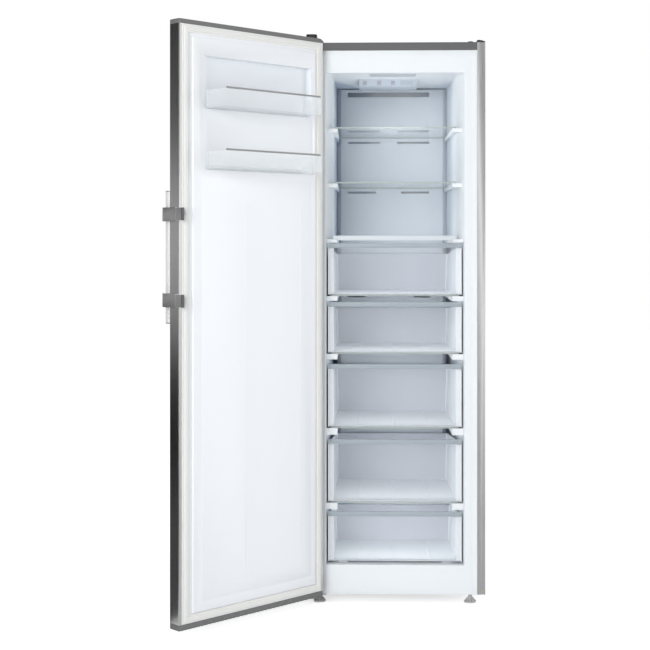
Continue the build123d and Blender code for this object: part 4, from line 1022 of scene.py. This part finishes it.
# %% [markdown]
# ## Door seal and rack strips
# The seal is a soft section with a magnet in its raised tube, carried round the door and cut to a
# mitre at each corner, as the welded corners of a real one are. Door pieces are worked out as if
# the door were shut and then turned about the hinge pin to where the door stands open.

# %% Door pieces
SEAL_HALF = 0.285
SEAL_Z = (0.053, 1.840)
SEAL_WIDE = 0.024
FOOT_THICK = 0.003
TUBE_RISE = 0.0064
TUBE_FROM = 0.0062
TUBE_SLOPE = 0.0007
DIMPLE = 0.0008
STRIP_X = (-0.1985, 0.1875)
STRIP_Y = (-0.2185, -0.2145)
STRIP_FEET = (1.6493, 1.4643)
STRIP_HIGH = 0.0055


def opened(rings):
    """Points of the shut door turned about the pin to the open place.

    Turning takes (x, y), measured from the pin, to (x cos + y sin, y cos - x sin) of the angle.
    """
    cos, sin = math.cos(-DOOR_OPEN), math.sin(-DOOR_OPEN)
    spin = np.array([[cos, sin], [-sin, cos]])
    flat = (rings[..., :2] - PIN) @ spin + PIN
    return np.concatenate((flat, rings[..., 2:]), axis=-1)


def seal_rings():
    """The seal's section, as (inwards, outwards) distances, at the four mitred corners.

    The outer half is written out, and the other half has the width less each inward distance. The
    inward distance shortens the half width and moves the height towards the middle of the door.
    """
    half = np.array(
        [
            (0.0, 0.0),
            (0.0, FOOT_THICK),
            (TUBE_FROM - TUBE_SLOPE, FOOT_THICK),
            (TUBE_FROM, TUBE_RISE),
            (SEAL_WIDE / 2 - DIMPLE, TUBE_RISE),
        ]
    )
    other = half[::-1] * (-1, 1) + (SEAL_WIDE, 0)
    dimple = [(SEAL_WIDE / 2, TUBE_RISE - DIMPLE)]
    inward, outward = rounded(np.concatenate((half, dimple, other)), 0.0004, 3).T
    rings = []
    for side, end in ((-1, 0), (1, 0), (1, 1), (-1, 1)):
        x = side * (SEAL_HALF - inward)
        z = SEAL_Z[end] + (inward if end == 0 else -inward)
        rings.append(np.column_stack((x, DOOR_INNER + outward, z)))
    return np.array(rings)


piece_from("door_seal", [skin_of(opened(seal_rings()), True)], [seal_grey], "door_gasket")

strips = []
near, far = STRIP_Y
for under in STRIP_FEET:
    over = under + STRIP_HIGH
    strip = rounded([(far, under), (near, under), (near, over), (far, over)], 0.0012, 4)
    strips.append(skin_of(opened(along_x(strip, *STRIP_X))))
piece_from("rack_strips", strips, [strip_metal], "rack_trims")
print("seal and rack strips")

# %% [markdown]
# ## Handle bar
# The handle is an upright bar with a domed cap at each end. Both are turned shapes, so a list of
# radii by height is enough. The bar's edges are broken by a fraction of a millimetre, because a
# perfectly sharp edge would catch no light.

# %% Handle bar
BAR_SIDES = 64
BAR_EASE = 0.0006
CAP_STRAIGHT = 0.4
CAP_SHRINK = 0.0035

low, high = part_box("handle_bar")
bar_centre = ((low[0] + high[0]) / 2, (low[1] + high[1]) / 2)
bar_radius = (high[1] - low[1]) / 2
bar_stations = [
    (bar_radius - BAR_EASE, low[2]),
    (bar_radius, low[2] + BAR_EASE),
    (bar_radius, high[2] - BAR_EASE),
    (bar_radius - BAR_EASE, high[2]),
]
tube = skin_of(turned(bar_centre, bar_stations, BAR_SIDES))
piece_from("handle_tube", [tube], [bar_satin], "handle_bar")
cap_low, cap_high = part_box("bar_end_caps")
cap_turn = np.linspace(0.0, math.pi / 2, 6)
rise = CAP_STRAIGHT + (1 - CAP_STRAIGHT) * np.sin(cap_turn)
dome_radius = bar_radius - CAP_SHRINK * (1.0 - np.cos(cap_turn))
ends = []
for outer, inner in ((cap_low[2], low[2]), (cap_high[2], high[2])):
    dome = inner + (outer - inner) * rise
    stations = np.column_stack((np.append(bar_radius, dome_radius), np.append(inner, dome)))
    ends.append(skin_of(turned(bar_centre, stations, BAR_SIDES)))
piece_from("handle_ends", ends, [bracket_satin], "bar_end_caps")
print("handle bar", round(2000 * bar_radius, 1), "mm thick")

# %% [markdown]
# ## Hinge screws
# A machine screw has a low domed head with a six-sided socket. The head is a turned shape whose
# stations rise over the dome and then drop into the socket, where the circles become hexagons.

# %% Hinge screws
UPPER_SEAT, LOWER_SEAT = 1.853, 0.026
UPPER_DEPTH, LOWER_DEPTH = 0.038, 0.054
SCREWS = (
    (-0.279, UPPER_DEPTH, UPPER_SEAT, 1),
    (-0.254, UPPER_DEPTH, UPPER_SEAT, 1),
    (-0.276, LOWER_DEPTH, LOWER_SEAT, -1),
    (-0.236, LOWER_DEPTH, LOWER_SEAT, -1),
)
SHANK, SHANK_LONG = 0.003, 0.014
DOME = ((0.005, 0.0), (0.005, 0.0014), (0.0046, 0.0027), (0.0037, 0.0036), (0.0028, 0.004))
SOCKET, SOCKET_FLOOR = 0.0022, 0.0018


def screw_rings(x, depth, seat, way):
    """Shank, dome and socket: radii by height, with the last two circles turned hexagonal.

    A hexagon's radius at an angle is that of its corner times cos(30 degrees) divided by the
    cosine of the angle measured from the middle of the nearest flat.
    """
    angle = np.linspace(0.0, 2 * math.pi, 36, endpoint=False)
    hexagon = math.cos(math.pi / 6) / np.cos(np.mod(angle, math.pi / 3) - math.pi / 6)
    stations = np.array(
        [
            (SHANK, -SHANK_LONG, 0),
            (SHANK, 0.0, 0),
            *[(*point, 0) for point in DOME],
            (SOCKET, DOME[-1][1], 1),
            (SOCKET, SOCKET_FLOOR, 1),
        ]
    )
    radius = stations[:, :1] * np.where(stations[:, 2:] > 0, hexagon[None], 1.0)
    flat_x = x + radius * np.cos(angle)
    flat_y = CABINET_FRONT + depth + radius * np.sin(angle)
    height = np.broadcast_to(seat + way * stations[:, 1:2], flat_x.shape)
    return np.stack((flat_x, flat_y, height), axis=2)


screw_skins = [skin_of(screw_rings(*screw)) for screw in SCREWS]
piece_from("socket_screws", screw_skins, [hinge_zinc], "hinge_screws")
print(len(SCREWS), "screws")
